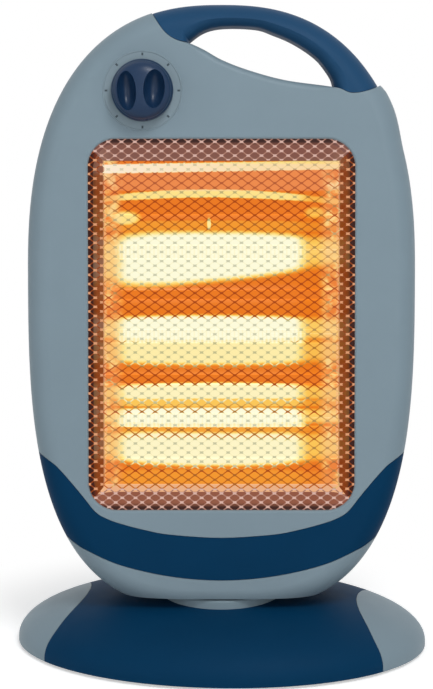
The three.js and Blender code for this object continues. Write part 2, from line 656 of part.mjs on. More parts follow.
const shellTop = BASE_TOP - COVER_THICKNESS - CLEARANCE; // base shell under the cover and the collar
const armBottom = BASE_UNDERSIDE + CLEARANCE + PLATE_SHEET + MOTOR_HEIGHT + 2 * DRIVE_SHEET + 5 * CLEARANCE;
const armTop = armBottom + DRIVE_SHEET;

function swivelSpigot() {
  const seat = HEAD_FOOT + WALL + CLEARANCE;
  const form = turned([[SPIGOT_BORE, armTop + CLEARANCE], [SPIGOT_RADIUS, armTop + CLEARANCE],
    [SPIGOT_RADIUS, seat], [SPIGOT_FLANGE, seat], [SPIGOT_FLANGE, seat + SPIGOT_FLANGE_SHEET],
    [SPIGOT_BORE, seat + SPIGOT_FLANGE_SHEET], [SPIGOT_BORE, armTop + CLEARANCE]]);
  return piece('swivel_spigot', form, innerPlastic);
}

// Arm under the spigot that the drive's link pushes; its pin stands just over the link's open eye.
function driveArm() {
  const ring = post(SPIGOT_RADIUS + HUB_WALL, armBottom, armTop).subtract(
    post(SPIGOT_BORE - 2, armBottom - 1, armTop + 1, 0, 0, 20));
  const pin = post(PIN_RADIUS, armBottom - CLEARANCE, armBottom + 1, ARM_RADIUS, 0, 14);
  return piece('drive_arm', ring.add(pin), plainSteel);
}

// ---------------------------------------------------------------- base pieces

// The oval outline, shrunk by a thickness and then drawn to a share of its size, at a height.
function baseRing(shrink, share, height) {
  return Array.from({ length: BASE_POINTS }, (_, i) => {
    const angle = 2 * Math.PI * i / BASE_POINTS;
    return [(BASE_HALF_WIDTH - shrink) * share * Math.cos(angle),
      (BASE_HALF_DEPTH - shrink) * share * Math.sin(angle), height];
  });
}

// The dome, shrunk by a thickness.
function baseDome(shrink, bottom) {
  const rings = [baseRing(shrink, 1, bottom)];
  for (const share of [1, 0.98, 0.92, 0.8, 0.62, 0.36]) {
    rings.push(baseRing(shrink, share, BASE_RIM + (BASE_TOP - BASE_RIM - shrink) * Math.sqrt(1 - share ** 4)));
  }
  return loft(rings);
}

function coverRegion(grow) {
  const front = COVER_EDGE.map(([x, along]) => [x + grow, COVER_WAIST_Y - along]);
  const rear = COVER_EDGE.slice(1).map(([x, along]) => [x + grow, COVER_WAIST_Y + along]);
  const edge = beside([...front.reverse(), ...rear], 0, 16);
  const flare = edge[0][0];
  const right = [[flare, -BIG / 2], ...edge, [flare, BIG / 2]];
  return plate(shapeOf([...right, ...right.map(([x, y]) => [-x, y]).reverse()]), -BIG, BIG);
}

const basePosts = [[-1, -1], [1, -1], [-1, 1], [1, 1]].map(([x, y]) => [x * BASE_SCREW_X, y * BASE_SCREW_Y]);
const plateTop = BASE_UNDERSIDE + CLEARANCE + PLATE_SHEET;
const boreRadius = SPIGOT_RADIUS + CLEARANCE + BUSH_WALL + CLEARANCE;

function baseShell() {
  const inside = baseDome(BASE_WALL, BASE_UNDERSIDE - 1);
  let shell = baseDome(0, BASE_UNDERSIDE).subtract(inside);
  for (const [x, y] of basePosts) {
    shell = shell.add(post(4.5, plateTop + CLEARANCE, BASE_TOP, x, y, 12).intersect(baseDome(1, BASE_UNDERSIDE)));
    shell = shell.subtract(post(SCREW_RADIUS + CLEARANCE, 0, plateTop + 9, x, y, 10));
  }
  const hub = post(boreRadius + HUB_WALL, armTop + CLEARANCE, BASE_TOP);
  shell = shell.add(hub.intersect(baseDome(1, BASE_UNDERSIDE)));
  const recess = coverRegion(CLEARANCE).subtract(baseDome(COVER_THICKNESS + CLEARANCE, BASE_UNDERSIDE - 2));
  shell = shell.subtract(recess).subtract(post(boreRadius, 0, BIG));
  return piece('base_shell', shell.subtract(glandCut()), greyPlastic);
}

function baseCover() {
  const skin = baseDome(0, BASE_UNDERSIDE).subtract(baseDome(COVER_THICKNESS, BASE_UNDERSIDE - 1));
  const form = skin.intersect(coverRegion(0)).subtract(post(COLLAR_RADIUS + CLEARANCE, 0, BIG, 0, 0, 36));
  return piece('base_cover', form.subtract(glandCut()), bluePlastic);
}

function bottomPlate() {
  const margin = BASE_WALL + CLEARANCE;
  let form = loft([baseRing(margin, 1, plateTop - PLATE_SHEET), baseRing(margin, 1, plateTop)]);
  for (const [x, y] of basePosts) {
    form = form.subtract(post(SCREW_RADIUS + CLEARANCE, 0, BIG, x, y, 10));
  }
  form = form.subtract(post(TIP_RADIUS + CLEARANCE, 0, BIG, TIP_X, TIP_Y, 16));
  return piece('bottom_plate', form, innerPlastic);
}

function rubberFeet() {
  return [[-1, -1], [1, -1], [-1, 1], [1, 1]].map(([x, y], i) => piece(`rubber_foot_${i + 1}`,
    turned([[0, 0], [FOOT_RADIUS - 1, 0], [FOOT_RADIUS, FOOT_HEIGHT], [0, FOOT_HEIGHT]], x * FOOT_X, y * FOOT_Y, 16),
    blackRubber));
}

function baseScrews() {
  return basePosts.map(([x, y], i) => {
    const under = plateTop - PLATE_SHEET - CLEARANCE;
    return piece(`base_screw_${i + 1}`, turned([[0, under - 1.2], [SCREW_HEAD_RADIUS - 0.5, under - 1.2],
      [SCREW_HEAD_RADIUS, under], [SCREW_RADIUS, under], [SCREW_RADIUS, plateTop + 7], [0, plateTop + 8]],
    x, y, 8), plainSteel);
  });
}

function swivelCollar() {
  const bottom = shellTop + CLEARANCE;
  const top = HEAD_FOOT - WASHER_SHEET - 2 * CLEARANCE;
  return piece('swivel_collar', turned([[boreRadius, bottom], [COLLAR_RADIUS, bottom], [COLLAR_RADIUS, top - 1],
    [COLLAR_RADIUS - 1, top], [boreRadius, top], [boreRadius, bottom]], 0, 0, 36), greyPlastic);
}

function thrustWasher() {
  const bottom = HEAD_FOOT - WASHER_SHEET - CLEARANCE;
  return piece('thrust_washer', turned([[boreRadius + 3, bottom], [COLLAR_RADIUS - 8, bottom],
    [COLLAR_RADIUS - 8, bottom + WASHER_SHEET], [boreRadius + 3, bottom + WASHER_SHEET], [boreRadius + 3, bottom]],
  0, 0, 28), innerPlastic);
}

function swivelBush() {
  const [inner, outer] = [SPIGOT_RADIUS + CLEARANCE, SPIGOT_RADIUS + CLEARANCE + BUSH_WALL];
  const [bottom, top] = [armTop + CLEARANCE, HEAD_FOOT - WASHER_SHEET - 2 * CLEARANCE];
  return piece('swivel_bush', turned([[inner, bottom], [outer, bottom], [outer, top], [inner, top], [inner, bottom]]),
    innerPlastic);
}

// ---------------------------------------------------------------- oscillation drive

const crankX = ARM_RADIUS;
const crankY = LINK_REACH;
const crankBottom = plateTop + CLEARANCE + MOTOR_HEIGHT + CLEARANCE;
const linkBottom = crankBottom + DRIVE_SHEET + CLEARANCE;
const eyeX = ARM_RADIUS * Math.cos(degrees(-BASE_TURN)); // the arm's pin, seen from the base
const eyeY = ARM_RADIUS * Math.sin(degrees(-BASE_TURN));
const pinX = crankX + Math.sqrt(CRANK_THROW ** 2 - eyeY ** 2); // the crank stands sideways near mid-swing
const pinY = crankY + eyeY;

function oscillationMotor() {
  const [bottom, top] = [plateTop + CLEARANCE, plateTop + CLEARANCE + MOTOR_HEIGHT];
  let form = turned([[0, bottom], [MOTOR_RADIUS, bottom], [MOTOR_RADIUS, top - 4], [MOTOR_RADIUS - 1, top - 3],
    [MOTOR_RADIUS - 8, top - 3], [MOTOR_RADIUS - 9, top], [0, top]], crankX, crankY);
  for (const sign of [-1, 1]) {
    const x = crankX + sign * (MOTOR_RADIUS + 4);
    form = form.add(post(4.5, bottom, bottom + 2, x, crankY, 14));
    form = form.add(block(Math.min(x, crankX), Math.max(x, crankX), crankY - 4, crankY + 4, bottom, bottom + 2));
    form = form.subtract(post(SCREW_RADIUS + CLEARANCE, 0, bottom + 5, x, crankY, 10));
  }
  form = form.subtract(post(SHAFT_RADIUS + CLEARANCE, top - 9, top + 1, crankX, crankY, 16));
  return piece('oscillation_motor', form, motorCan);
}

function motorScrews() {
  return [-1, 1].map((sign, i) => {
    const top = plateTop + 2 * CLEARANCE + 2;
    return piece(`motor_screw_${i + 1}`, turned([[0, plateTop + CLEARANCE], [SCREW_RADIUS, plateTop + CLEARANCE],
      [SCREW_RADIUS, top], [SCREW_HEAD_RADIUS, top], [SCREW_HEAD_RADIUS - 0.6, top + 2], [0, top + 2]],
    crankX + sign * (MOTOR_RADIUS + 4), crankY, 8), plainSteel);
  });
}

function motorShaft() {
  return piece('motor_shaft', post(SHAFT_RADIUS, crankBottom - 8, crankBottom + DRIVE_SHEET, crankX, crankY, 16), plainSteel);
}

function crankDisc() {
  const disc = post(CRANK_RADIUS, crankBottom, crankBottom + DRIVE_SHEET, crankX, crankY);
  const bore = post(SHAFT_RADIUS + CLEARANCE, 0, BIG, crankX, crankY, 16);
  const pin = post(PIN_RADIUS, crankBottom + 1, linkBottom + DRIVE_SHEET, pinX, pinY, 14);
  return piece('crank_disc', disc.subtract(bore).add(pin), innerPlastic);
}

function driveLink() {
  const [dx, dy] = [eyeX - pinX, eyeY - pinY];
  const long = Math.hypot(dx, dy);
  const bar = block(0, long, -LINK_WIDTH / 2, LINK_WIDTH / 2, linkBottom, linkBottom + DRIVE_SHEET);
  let form = bar.rotate([0, 0, THREE.MathUtils.radToDeg(Math.atan2(dy, dx))]).translate([pinX, pinY, 0]);
  for (const [x, y] of [[pinX, pinY], [eyeX, eyeY]]) {
    form = form.add(post(EYE_RADIUS, linkBottom, linkBottom + DRIVE_SHEET, x, y, 20));
  }
  for (const [x, y] of [[pinX, pinY], [eyeX, eyeY]]) {
    form = form.subtract(post(PIN_RADIUS + CLEARANCE, 0, BIG, x, y, 14));
  }
  return piece('drive_link', form, plainSteel);
}

// ---------------------------------------------------------------- tip-over switch and gland

const guideTop = plateTop + CLEARANCE + 3;
const flangeBottom = guideTop + TIP_STROKE + CLEARANCE;
const flangeTop = flangeBottom + 1.5;

function plungerGuide() {
  const bottom = plateTop + CLEARANCE;
  const bore = TIP_RADIUS + CLEARANCE;
  return piece('plunger_guide', turned([[bore, bottom], [bore + 4, bottom], [bore + 4, guideTop], [bore, guideTop],
    [bore, bottom]], TIP_X, TIP_Y, 20), innerPlastic);
}

function tipPlunger() {
  return piece('tip_plunger', turned([[0, CLEARANCE], [TIP_RADIUS - 1, CLEARANCE], [TIP_RADIUS, CLEARANCE + 1],
    [TIP_RADIUS, flangeBottom], [TIP_RADIUS + 2, flangeBottom], [TIP_RADIUS + 2, flangeTop], [0, flangeTop]],
  TIP_X, TIP_Y, 20), blackRubber);
}

// Microswitch over the plunger on two legs that stand on the bottom plate.
function tipSwitch() {
  const bottom = flangeTop + CLEARANCE;
  let form = block(TIP_X - 14, TIP_X + 14, TIP_Y - 5, TIP_Y + 5, bottom, bottom + 9);
  for (const sign of [-1, 1]) {
    const x = TIP_X + sign * 12.5;
    form = form.add(block(x - 1.5, x + 1.5, TIP_Y - 5, TIP_Y + 5, plateTop + CLEARANCE, bottom + 1));
  }
  return piece('tip_switch', form, blackRubber);
}

const glandY = BASE_HALF_DEPTH * 0.94;

function glandCut() {
  const hole = new THREE.CylinderGeometry(GLAND_RADIUS + CLEARANCE, GLAND_RADIUS + CLEARANCE, 60, 20);
  return solid(hole.translate(0, glandY, GLAND_HEIGHT));
}

function cordGland() {
  const profile = [[GLAND_BORE, -9], [GLAND_RADIUS + 2, -9], [GLAND_RADIUS + 2, -6.5], [GLAND_RADIUS, -6.5],
    [GLAND_RADIUS, 5.5], [GLAND_BORE, 5.5], [GLAND_BORE, -9]];
  const points = profile.map(([radius, height]) => new THREE.Vector2(radius, height));
  return piece('cord_gland', solid(new THREE.LatheGeometry(points, 20).translate(0, glandY, GLAND_HEIGHT)), blackRubber);
}

// ---------------------------------------------------------------- assembly

const head = new THREE.Group();
head.position.set(0, -HEAD_FRONT, HEAD_FOOT);
head.rotation.x = -degrees(LEAN);
head.add(frontHousing(), frontTrim(), rearHousing(), ...handleHalves(), grille(), reflector());
head.add(...halogenTubes(), ...ceramicCaps(), tubeBracket('left', -1), tubeBracket('right', 1), heatShield());
head.add(thermalCutout(), terminalBlock(), rotarySwitch(), ...housingScrews());
head.add(knob(), knobSpindle());

const swivel = new THREE.Group();
swivel.add(swivelSpigot(), driveArm());

const base = new THREE.Group();
base.rotation.z = degrees(BASE_TURN);
base.add(baseShell(), baseCover(), bottomPlate(), ...rubberFeet(), ...baseScrews());
base.add(swivelCollar(), thrustWasher(), swivelBush());
base.add(oscillationMotor(), ...motorScrews(), motorShaft(), crankDisc(), driveLink());
base.add(plungerGuide(), tipPlunger(), tipSwitch(), cordGland());

const group = new THREE.Group();
group.add(base, swivel, head);

export default group;
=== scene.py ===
import json
import math

import bmesh
import bpy
from mathutils import Matrix, Vector


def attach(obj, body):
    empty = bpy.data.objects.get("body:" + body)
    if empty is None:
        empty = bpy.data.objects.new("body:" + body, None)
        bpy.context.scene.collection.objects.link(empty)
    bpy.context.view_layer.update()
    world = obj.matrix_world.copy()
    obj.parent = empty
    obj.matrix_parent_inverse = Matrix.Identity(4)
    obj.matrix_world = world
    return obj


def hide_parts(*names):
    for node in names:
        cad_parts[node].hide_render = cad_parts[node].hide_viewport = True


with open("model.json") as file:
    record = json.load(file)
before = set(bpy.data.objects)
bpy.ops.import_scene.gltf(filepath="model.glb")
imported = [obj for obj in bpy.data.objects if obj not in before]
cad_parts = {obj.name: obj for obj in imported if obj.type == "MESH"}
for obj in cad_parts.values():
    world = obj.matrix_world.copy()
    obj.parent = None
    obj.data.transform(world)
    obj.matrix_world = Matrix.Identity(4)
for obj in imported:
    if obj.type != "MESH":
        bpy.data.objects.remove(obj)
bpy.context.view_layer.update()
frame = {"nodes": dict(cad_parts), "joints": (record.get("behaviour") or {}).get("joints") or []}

# ---------------------------------------------------------------- camera
# The heater is looked at from in front and a little above, about two arm's lengths away, with a long lens.
# Its head faces the camera, and the camera aims just left of the swivel axis, at half the heater's height.

CAMERA_PLACE = Vector((-0.0035, -1.7, 0.556))
CAMERA_AIM = Vector((-0.0035, 0, 0.2188))
CAMERA_LENS = 128

camera = bpy.data.objects.new("camera", bpy.data.cameras.new("camera"))
bpy.context.collection.objects.link(camera)
camera.data.lens = CAMERA_LENS
camera.location = CAMERA_PLACE
camera.rotation_euler = (CAMERA_AIM - CAMERA_PLACE).to_track_quat("-Z", "Y").to_euler()
bpy.context.scene.camera = camera
bpy.context.scene.view_settings.view_transform = "Standard"

# ---------------------------------------------------------------- studio
# A white sweep of floor under an even sky, with a soft box high on the right for the gloss and the shadows, a
# wide lamp low in front and a weaker one on the left. The floor keeps the heater's shadow and turns to plain
# white further out, as the sky does for the camera and for mirrors.


class Field:
    """A value in a node tree. Arithmetic on it adds Math nodes, and node() adds any other node."""

    def __init__(self, tree, socket=None):
        self.tree = tree
        self.socket = socket

    def node(self, kind, sockets=None, output=0, stops=None, **settings):
        """A node with its settings and ramp stops, and then the values or links of its sockets."""
        made = self.tree.nodes.new(kind)
        for name, value in settings.items():
            setattr(made, name, value)
        if stops:
            elements = made.color_ramp.elements
            while len(elements) < len(stops):
                elements.new(1)
            for element, (position, value) in zip(elements, stops):
                element.position = position
                element.color = value
        for name, value in (sockets or {}).items():
            if isinstance(value, Field):
                self.tree.links.new(value.socket, made.inputs[name])
            else:
                made.inputs[name].default_value = value
        return Field(self.tree, made.outputs[output] if made.outputs else None)

    def out(self, name):
        """Another output of the node that this value comes from."""
        return Field(self.tree, self.socket.node.outputs[name])

    def maths(self, operation, *values):
        """A Math node on these values."""
        return self.node("ShaderNodeMath", dict(enumerate(values)), operation=operation)

    def __add__(self, other):
        return self.maths("ADD", self, other)

    def __sub__(self, other):
        return self.maths("SUBTRACT", self, other)

    def __rsub__(self, other):
        return self.maths("SUBTRACT", other, self)

    def __mul__(self, other):
        return self.maths("MULTIPLY", self, other)

    def __truediv__(self, other):
        return self.maths("DIVIDE", self, other)

    def __pow__(self, other):
        return self.maths("POWER", self, other)

    def __gt__(self, other):
        return self.maths("GREATER_THAN", self, other)

    def __lt__(self, other):
        return self.maths("LESS_THAN", self, other)

    __radd__ = __add__
    __rmul__ = __mul__


def paint(code):
    """A colour written as on a paint chart, RRGGBB, as the linear numbers that a shader takes."""
    parts = [int(code[i:i + 2], 16) / 255 for i in (0, 2, 4)]
    return tuple(c / 12.92 if c <= 0.04045 else ((c + 0.055) / 1.055) ** 2.4 for c in parts) + (1,)


def blank_material(name):
    """A new material and the start of its node tree."""
    material = bpy.data.materials.new(name)
    material.use_nodes = True
    material.node_tree.nodes.clear()
    return material, Field(material.node_tree)


def graded(value, start, full, top=1, bottom=0, smooth=True):
    """A value's climb from bottom at its start to top where it is full, and level beyond."""
    return value.node("ShaderNodeMapRange", {
        "Value": value, "From Min": start, "From Max": full, "To Min": bottom, "To Max": top},
        interpolation_type="SMOOTHSTEP" if smooth else "LINEAR")


WHITE = (1, 1, 1, 1)
SKY_LIGHT = 0.4
LAMP_AIM = Vector((0, 0, 0.2))
FLOOR_HALF = 9
FLOOR_DROP = 0.0002
FLOOR_SHADE = (0.9, 0.9, 0.9, 1)
FLOOR_GLOW = 0.45
FLOOR_WHITE = (0.16, 0.26)  # distances from the heater's middle between which the lit floor turns plain white


def background_mask(tree):
    """One for the rays that see the backdrop: the camera's own, and those that gloss and glass send on."""
    rays = tree.node("ShaderNodeLightPath", output="Is Camera Ray")
    bent = rays.maths("MAXIMUM", rays.out("Is Glossy Ray"), rays.out("Is Transmission Ray"))
    return rays.maths("MAXIMUM", rays, bent)


world = bpy.data.worlds.new("studio")
world.use_nodes = True
world.node_tree.nodes.clear()
bpy.context.scene.world = world
sky = Field(world.node_tree)
sky_glow = sky.node("ShaderNodeBackground", {
    "Color": WHITE, "Strength": SKY_LIGHT + background_mask(sky) * (1 - SKY_LIGHT)})
sky.node("ShaderNodeOutputWorld", {"Surface": sky_glow})

for lamp_name, place, power, size in (
    ("key_lamp", (0.5, -1.25, 1.85), 17, 0.7),
    ("front_lamp", (0.7, -2.3, 0.8), 8, 1.5),
    ("fill_lamp", (-1.6, -1.5, 0.8), 6, 1.3),
):
    lamp = bpy.data.objects.new(lamp_name, bpy.data.lights.new(lamp_name, "AREA"))
    bpy.context.collection.objects.link(lamp)
    lamp.data.energy = power
    lamp.data.size = size
    lamp.location = place
    lamp.rotation_euler = (LAMP_AIM - Vector(place)).to_track_quat("-Z", "Y").to_euler()

floor_mesh = bpy.data.meshes.new("floor")
corners = [(x * FLOOR_HALF, y * FLOOR_HALF, -FLOOR_DROP) for x, y in ((-1, -1), (1, -1), (1, 1), (-1, 1))]
floor_mesh.from_pydata(corners, [], [(0, 1, 2, 3)])
floor = bpy.data.objects.new("floor", floor_mesh)
bpy.context.collection.objects.link(floor)
floor_paint, tree = blank_material("white_floor")
shaded = tree.node("ShaderNodeBsdfDiffuse", {"Color": FLOOR_SHADE})
seen = background_mask(tree)
place = tree.node("ShaderNodeTexCoord", output="Object")
away = tree.node("ShaderNodeVectorMath", {0: place}, output="Value", operation="LENGTH")
lift = tree.node("ShaderNodeEmission", {"Color": WHITE, "Strength": seen * FLOOR_GLOW})
near = tree.node("ShaderNodeAddShader", {0: shaded, 1: lift})
far = tree.node("ShaderNodeEmission", {"Color": WHITE, "Strength": 1.0})
both = tree.node("ShaderNodeMixShader", {0: seen * graded(away, *FLOOR_WHITE), 1: near, 2: far})
tree.node("ShaderNodeOutputMaterial", {"Surface": both})
floor_mesh.materials.append(floor_paint)

# ---------------------------------------------------------------- base floor plate, feet and base screws
# The bottom plate is plain moulded plastic, held up into the base by four screws, and four rubber feet are
# pressed into it. Its sizes are in millimetres in the base's own frame, turned a little from the head's.

MM = 0.001
CLEARANCE = 0.3
BASE_TURN = math.radians(-5.5)
BASE = Matrix.Rotation(BASE_TURN, 4, "Z") @ Matrix.Scale(MM, 4)
FOOT_PLACES = [(x * 100, y * 52) for x in (-1, 1) for y in (-1, 1)]
FOOT_RADIUS = 10
FOOT_HEIGHT = 2
DRIFT_SPOTS = 26  # spots to a metre in the plastics' drift of colour
GLOSS_SPOTS = 60
GLOSS_SPREAD = 0.12
GRAIN_SPOTS = 2600
GRAIN_DEPTH = 0.0004


def textured(tree, scale, detail=3):
    """Noise in the piece's own coordinates, at so many spots to a metre."""
    place = tree.node("ShaderNodeTexCoord", output="Object")
    return tree.node("ShaderNodeTexNoise", {
        "Vector": place, "Scale": scale, "Detail": detail, "Roughness": 0.55})


def shade_by(colour, share):
    """A paint made darker or lighter by a share of itself."""
    return tuple(min(1, c * share) for c in colour[:3]) + (1,)


def blend(factor, first, second):
    """One colour turning into another as the factor goes from nought to one."""
    return factor.node("ShaderNodeMix", {"Factor": factor, 6: first, 7: second}, output=2, data_type="RGBA")


def surfaced(tree, sockets):
    """The material's surface, from the values and links of a principled shader."""
    shader = tree.node("ShaderNodeBsdfPrincipled", sockets)
    tree.node("ShaderNodeOutputMaterial", {"Surface": shader})


def moulded(name, shade, roughness, grain=0.06, variation=0.05, grain_spots=GRAIN_SPOTS, shine=0.2):
    """Injection moulded plastic: one colour that drifts a little, a fine spark-eroded grain, uneven gloss."""
    material, tree = blank_material(name)
    base = paint(shade)
    drift = textured(tree, DRIFT_SPOTS, 4)
    colour = blend(drift, shade_by(base, 1 - variation), shade_by(base, 1 + variation))
    fine = textured(tree, grain_spots, 2)
    bump = tree.node("ShaderNodeBump", {"Height": fine, "Strength": grain, "Distance": GRAIN_DEPTH})
    gloss = roughness + (textured(tree, GLOSS_SPOTS, 2) - 0.5) * GLOSS_SPREAD
    surfaced(tree, {"Base Color": colour, "Roughness": gloss, "Normal": bump, "Specular IOR Level": shine})
    return material


def dress(material, *nodes):
    """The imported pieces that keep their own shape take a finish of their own."""
    for name in nodes:
        held = frame["nodes"][name].data
        held.materials.clear()
        held.materials.append(material)


def mesh_piece(name, points, faces, place):
    """A closed mesh at the origin, with its corners put in place and its faces turned outwards."""
    mesh = bpy.data.meshes.new(name)
    mesh.from_pydata([place @ Vector(point) for point in points], [], faces)
    piece = bpy.data.objects.new(name, mesh)
    bpy.context.collection.objects.link(piece)
    face_out(mesh)
    return piece


def face_out(mesh):
    """Doubled corners merged, and every face turned outwards."""
    work = bmesh.new()
    work.from_mesh(mesh)
    bmesh.ops.remove_doubles(work, verts=work.verts, dist=1e-7)
    bmesh.ops.recalc_face_normals(work, faces=work.faces)
    work.to_mesh(mesh)
    work.free()


def loft(name, rings, place, closed=False):
    """Rings of points joined into a skin. Its ends are covered, or if it is closed, joined to each other."""
    count = len(rings[0])
    faces = []
    for ring in range(len(rings) if closed else len(rings) - 1):
        following = (ring + 1) % len(rings)
        for i in range(count):
            j = (i + 1) % count
            faces.append((ring * count + i, ring * count + j, following * count + j, following * count + i))
    if not closed:
        last = (len(rings) - 1) * count
        faces.append(tuple(range(count)))
        faces.append(tuple(range(last, last + count)))
    return mesh_piece(name, [point for ring in rings for point in ring], faces, place)


def turned(name, profile, place, sides=72, closed=False):
    """A form turned about its own z, from pairs of radius and height."""
    angles = [2 * math.pi * i / sides for i in range(sides)]
    rings = [[(r * math.cos(a), r * math.sin(a), z) for a in angles] for r, z in profile]
    return loft(name, rings, place, closed)


def evaluated_mesh(piece):
    """The piece's mesh with its modifiers taken in, and the modifiers removed."""
    depsgraph = bpy.context.evaluated_depsgraph_get()
    made = bpy.data.meshes.new_from_object(piece.evaluated_get(depsgraph))
    piece.modifiers.clear()
    old = piece.data
    piece.data = made
    bpy.data.meshes.remove(old)


def boolean(piece, operation, *tools):
    """The piece with the tools taken to it one after the other; the tools are used up."""
    for tool in tools:
        step = piece.modifiers.new("boolean", "BOOLEAN")
        step.solver = "MANIFOLD"
        step.operation = operation
        step.object = tool
    evaluated_mesh(piece)
    for tool in tools:
        bpy.data.objects.remove(tool)
    return piece


def cut(piece, *tools):
    """The piece less its tools."""
    return boolean(piece, "DIFFERENCE", *tools)


def join(piece, *tools):
    """The piece and its tools in one."""
    return boolean(piece, "UNION", *tools)


def keep(piece, *tools):
    """What the piece shares with all its tools."""
    return boolean(piece, "INTERSECT", *tools)


def finished(piece, body, material, slot, *nodes, crease=32):
    """Smooth shading up to a crease angle, the material, and what the piece rides on and stands for."""
    face_out(piece.data)
    piece.data.polygons.foreach_set("use_smooth", [True] * len(piece.data.polygons))
    piece.data.set_sharp_from_angle(angle=math.radians(crease))
    weighted = piece.modifiers.new("even_shading", "WEIGHTED_NORMAL")
    weighted.keep_sharp = True
    evaluated_mesh(piece)
    piece.data.materials.clear()
    piece.data.materials.append(material)
    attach(piece, body)
    if nodes:
        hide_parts(*nodes)


inner_plastic = moulded("natural_plastic", "D8D4C8", 0.55)
black_rubber = moulded("black_rubber", "1B1B1D", 0.75, grain=0.2, grain_spots=1400)
dress(inner_plastic, "bottom_plate", "thrust_washer", "swivel_bush", "swivel_spigot", "crank_disc",
      "plunger_guide", "terminal_block", "rotary_switch")
dress(black_rubber, "cord_gland", "tip_plunger", "tip_switch")

# ---------------------------------------------------------------- shafts, sheet steel and the gear motor
# Screws, the link, brackets and the shield behind the pan are bright steel sheet and wire with a drawn grain;
# the gear motor's can is plated, and the knob turns on a brass spindle.


DRAWN_SPOTS = 900
DRAWN_DEPTH = 0.0002
CLOUD_SPOTS = 40
CLOUD_SHADE = 0.82


def drawn_metal(name, shade, roughness, stretch=(1, 1, 12)):
    """Bright metal with a fine drawn grain, and a cloudiness as of handling."""
    material, tree = blank_material(name)
    place = tree.node("ShaderNodeTexCoord", output="Object")
    stretched = tree.node("ShaderNodeMapping", {"Vector": place, "Scale": stretch})
    grain = tree.node("ShaderNodeTexNoise", {"Vector": stretched, "Scale": DRAWN_SPOTS, "Detail": 3})
    base = paint(shade)
    colour = blend(textured(tree, CLOUD_SPOTS), shade_by(base, CLOUD_SHADE), base)
    bump = tree.node("ShaderNodeBump", {"Height": grain, "Strength": 0.12, "Distance": DRAWN_DEPTH})
    surfaced(tree, {"Base Color": colour, "Metallic": 1.0, "Roughness": roughness + (grain - 0.5) * 0.2,
                    "Normal": bump})
    return material


plain_steel = drawn_metal("bright_steel", "A6A9AC", 0.36)
motor_metal = drawn_metal("plated_can", "96999D", 0.4, (12, 12, 1))
brass = drawn_metal("spindle_brass", "B89A56", 0.33)
dress(plain_steel, "tube_bracket_left", "tube_bracket_right", "heat_shield", "drive_arm", "drive_link",
      "motor_shaft", "motor_screw_1", "motor_screw_2")
dress(motor_metal, "oscillation_motor", "thermal_cutout")
dress(brass, "knob_spindle")

# ---------------------------------------------------------------- base shell
# A thin oval dome moulded in the body's grey-blue, whose two wings show either side of the blue cover. It is
# sunk under the cover by the cover's thickness, and its rim stands just clear of the floor.

BASE_HALF_WIDTH = 147.1
BASE_HALF_DEPTH = 109.8
BASE_UNDERSIDE = 2
BASE_RIM = 4.5
BASE_TOP = 38
BASE_WALL = 3.2
BASE_SIDES = 180
DOME_RINGS = 22
COVER_THICKNESS = 1.4
COVER_WAIST_Y = 9
COVER_EDGE = [(97, 0), (100.2, 28), (109.9, 58.4), (117.7, 72), (132, 92)]  # half width, distance from waist
COVER_STEPS = 64
SPIGOT_HOLE = 17.6
COLLAR_RADIUS = 43
FAR = 400  # further than any piece reaches


def base_ring(shrink, share, height):
    """The base's oval shrunk by a thickness, and then to a share of itself, at a height."""
    angles = [2 * math.pi * i / BASE_SIDES for i in range(BASE_SIDES)]
    half_width = (BASE_HALF_WIDTH - shrink) * share
    half_depth = (BASE_HALF_DEPTH - shrink) * share
    return [(half_width * math.cos(a), half_depth * math.sin(a), height) for a in angles]


def base_dome(shrink, bottom):
    """The dome shrunk by a thickness: its height falls as the root of one less the cube of the share."""
    rings = [base_ring(shrink, 1, bottom)]
    for step in range(DOME_RINGS):
        fall = math.pi / 2 * (1 - step / (DOME_RINGS - 0.5))
        height = BASE_RIM + (BASE_TOP - BASE_RIM - shrink) * math.cos(fall)
        rings.append(base_ring(shrink, math.sin(fall) ** (2 / 3), height))
    return loft("dome", rings, BASE)


def curve_points(knots, steps, offset=0):
    """Points along a smooth curve through the knots, moved to its left by an offset, or by a rule of x."""
    points = []
    for step in range(steps + 1):
        at = step / steps * (len(knots) - 1)
        i = min(int(at), len(knots) - 2)
        t = at - i
        a, b, c, d = (Vector(knots[max(0, min(k, len(knots) - 1))]) for k in (i - 1, i, i + 1, i + 2))
        v0, v1 = (c - a) / 2, (d - b) / 2
        cubic, square = 2 * b - 2 * c + v0 + v1, 3 * c - 3 * b - 2 * v0 - v1
        point = cubic * t ** 3 + square * t ** 2 + v0 * t + b
        along = (3 * cubic * t ** 2 + 2 * square * t + v0).normalized()
        shift = offset(point.x) if callable(offset) else offset
        points.append((point.x - along.y * shift, point.y + along.x * shift))
    return points


def cover_region(grow):
    """Everything over the blue cover, between its two waisted edges."""
    front = [(x + grow, COVER_WAIST_Y - along) for x, along in COVER_EDGE]
    rear = [(x + grow, COVER_WAIST_Y + along) for x, along in COVER_EDGE[1:]]
    edge = curve_points(front[::-1] + rear, COVER_STEPS)
    flare = edge[0][0]
    right = [(flare, -FAR / 2)] + edge + [(flare, FAR / 2)]
    outline = right + [(-x, y) for x, y in right[::-1]]
    return loft("cover_region", [[(x, y, z) for x, y in outline] for z in (-FAR, FAR)], BASE)


def round_bar(radius, start, end, place, sides=72):
    """A plain round bar along its own z, mostly to cut holes with."""
    return turned("bar", [(radius, start), (radius, end)], place, sides)


grey_plastic = moulded("grey_blue_plastic", "7C8F9A", 0.45)

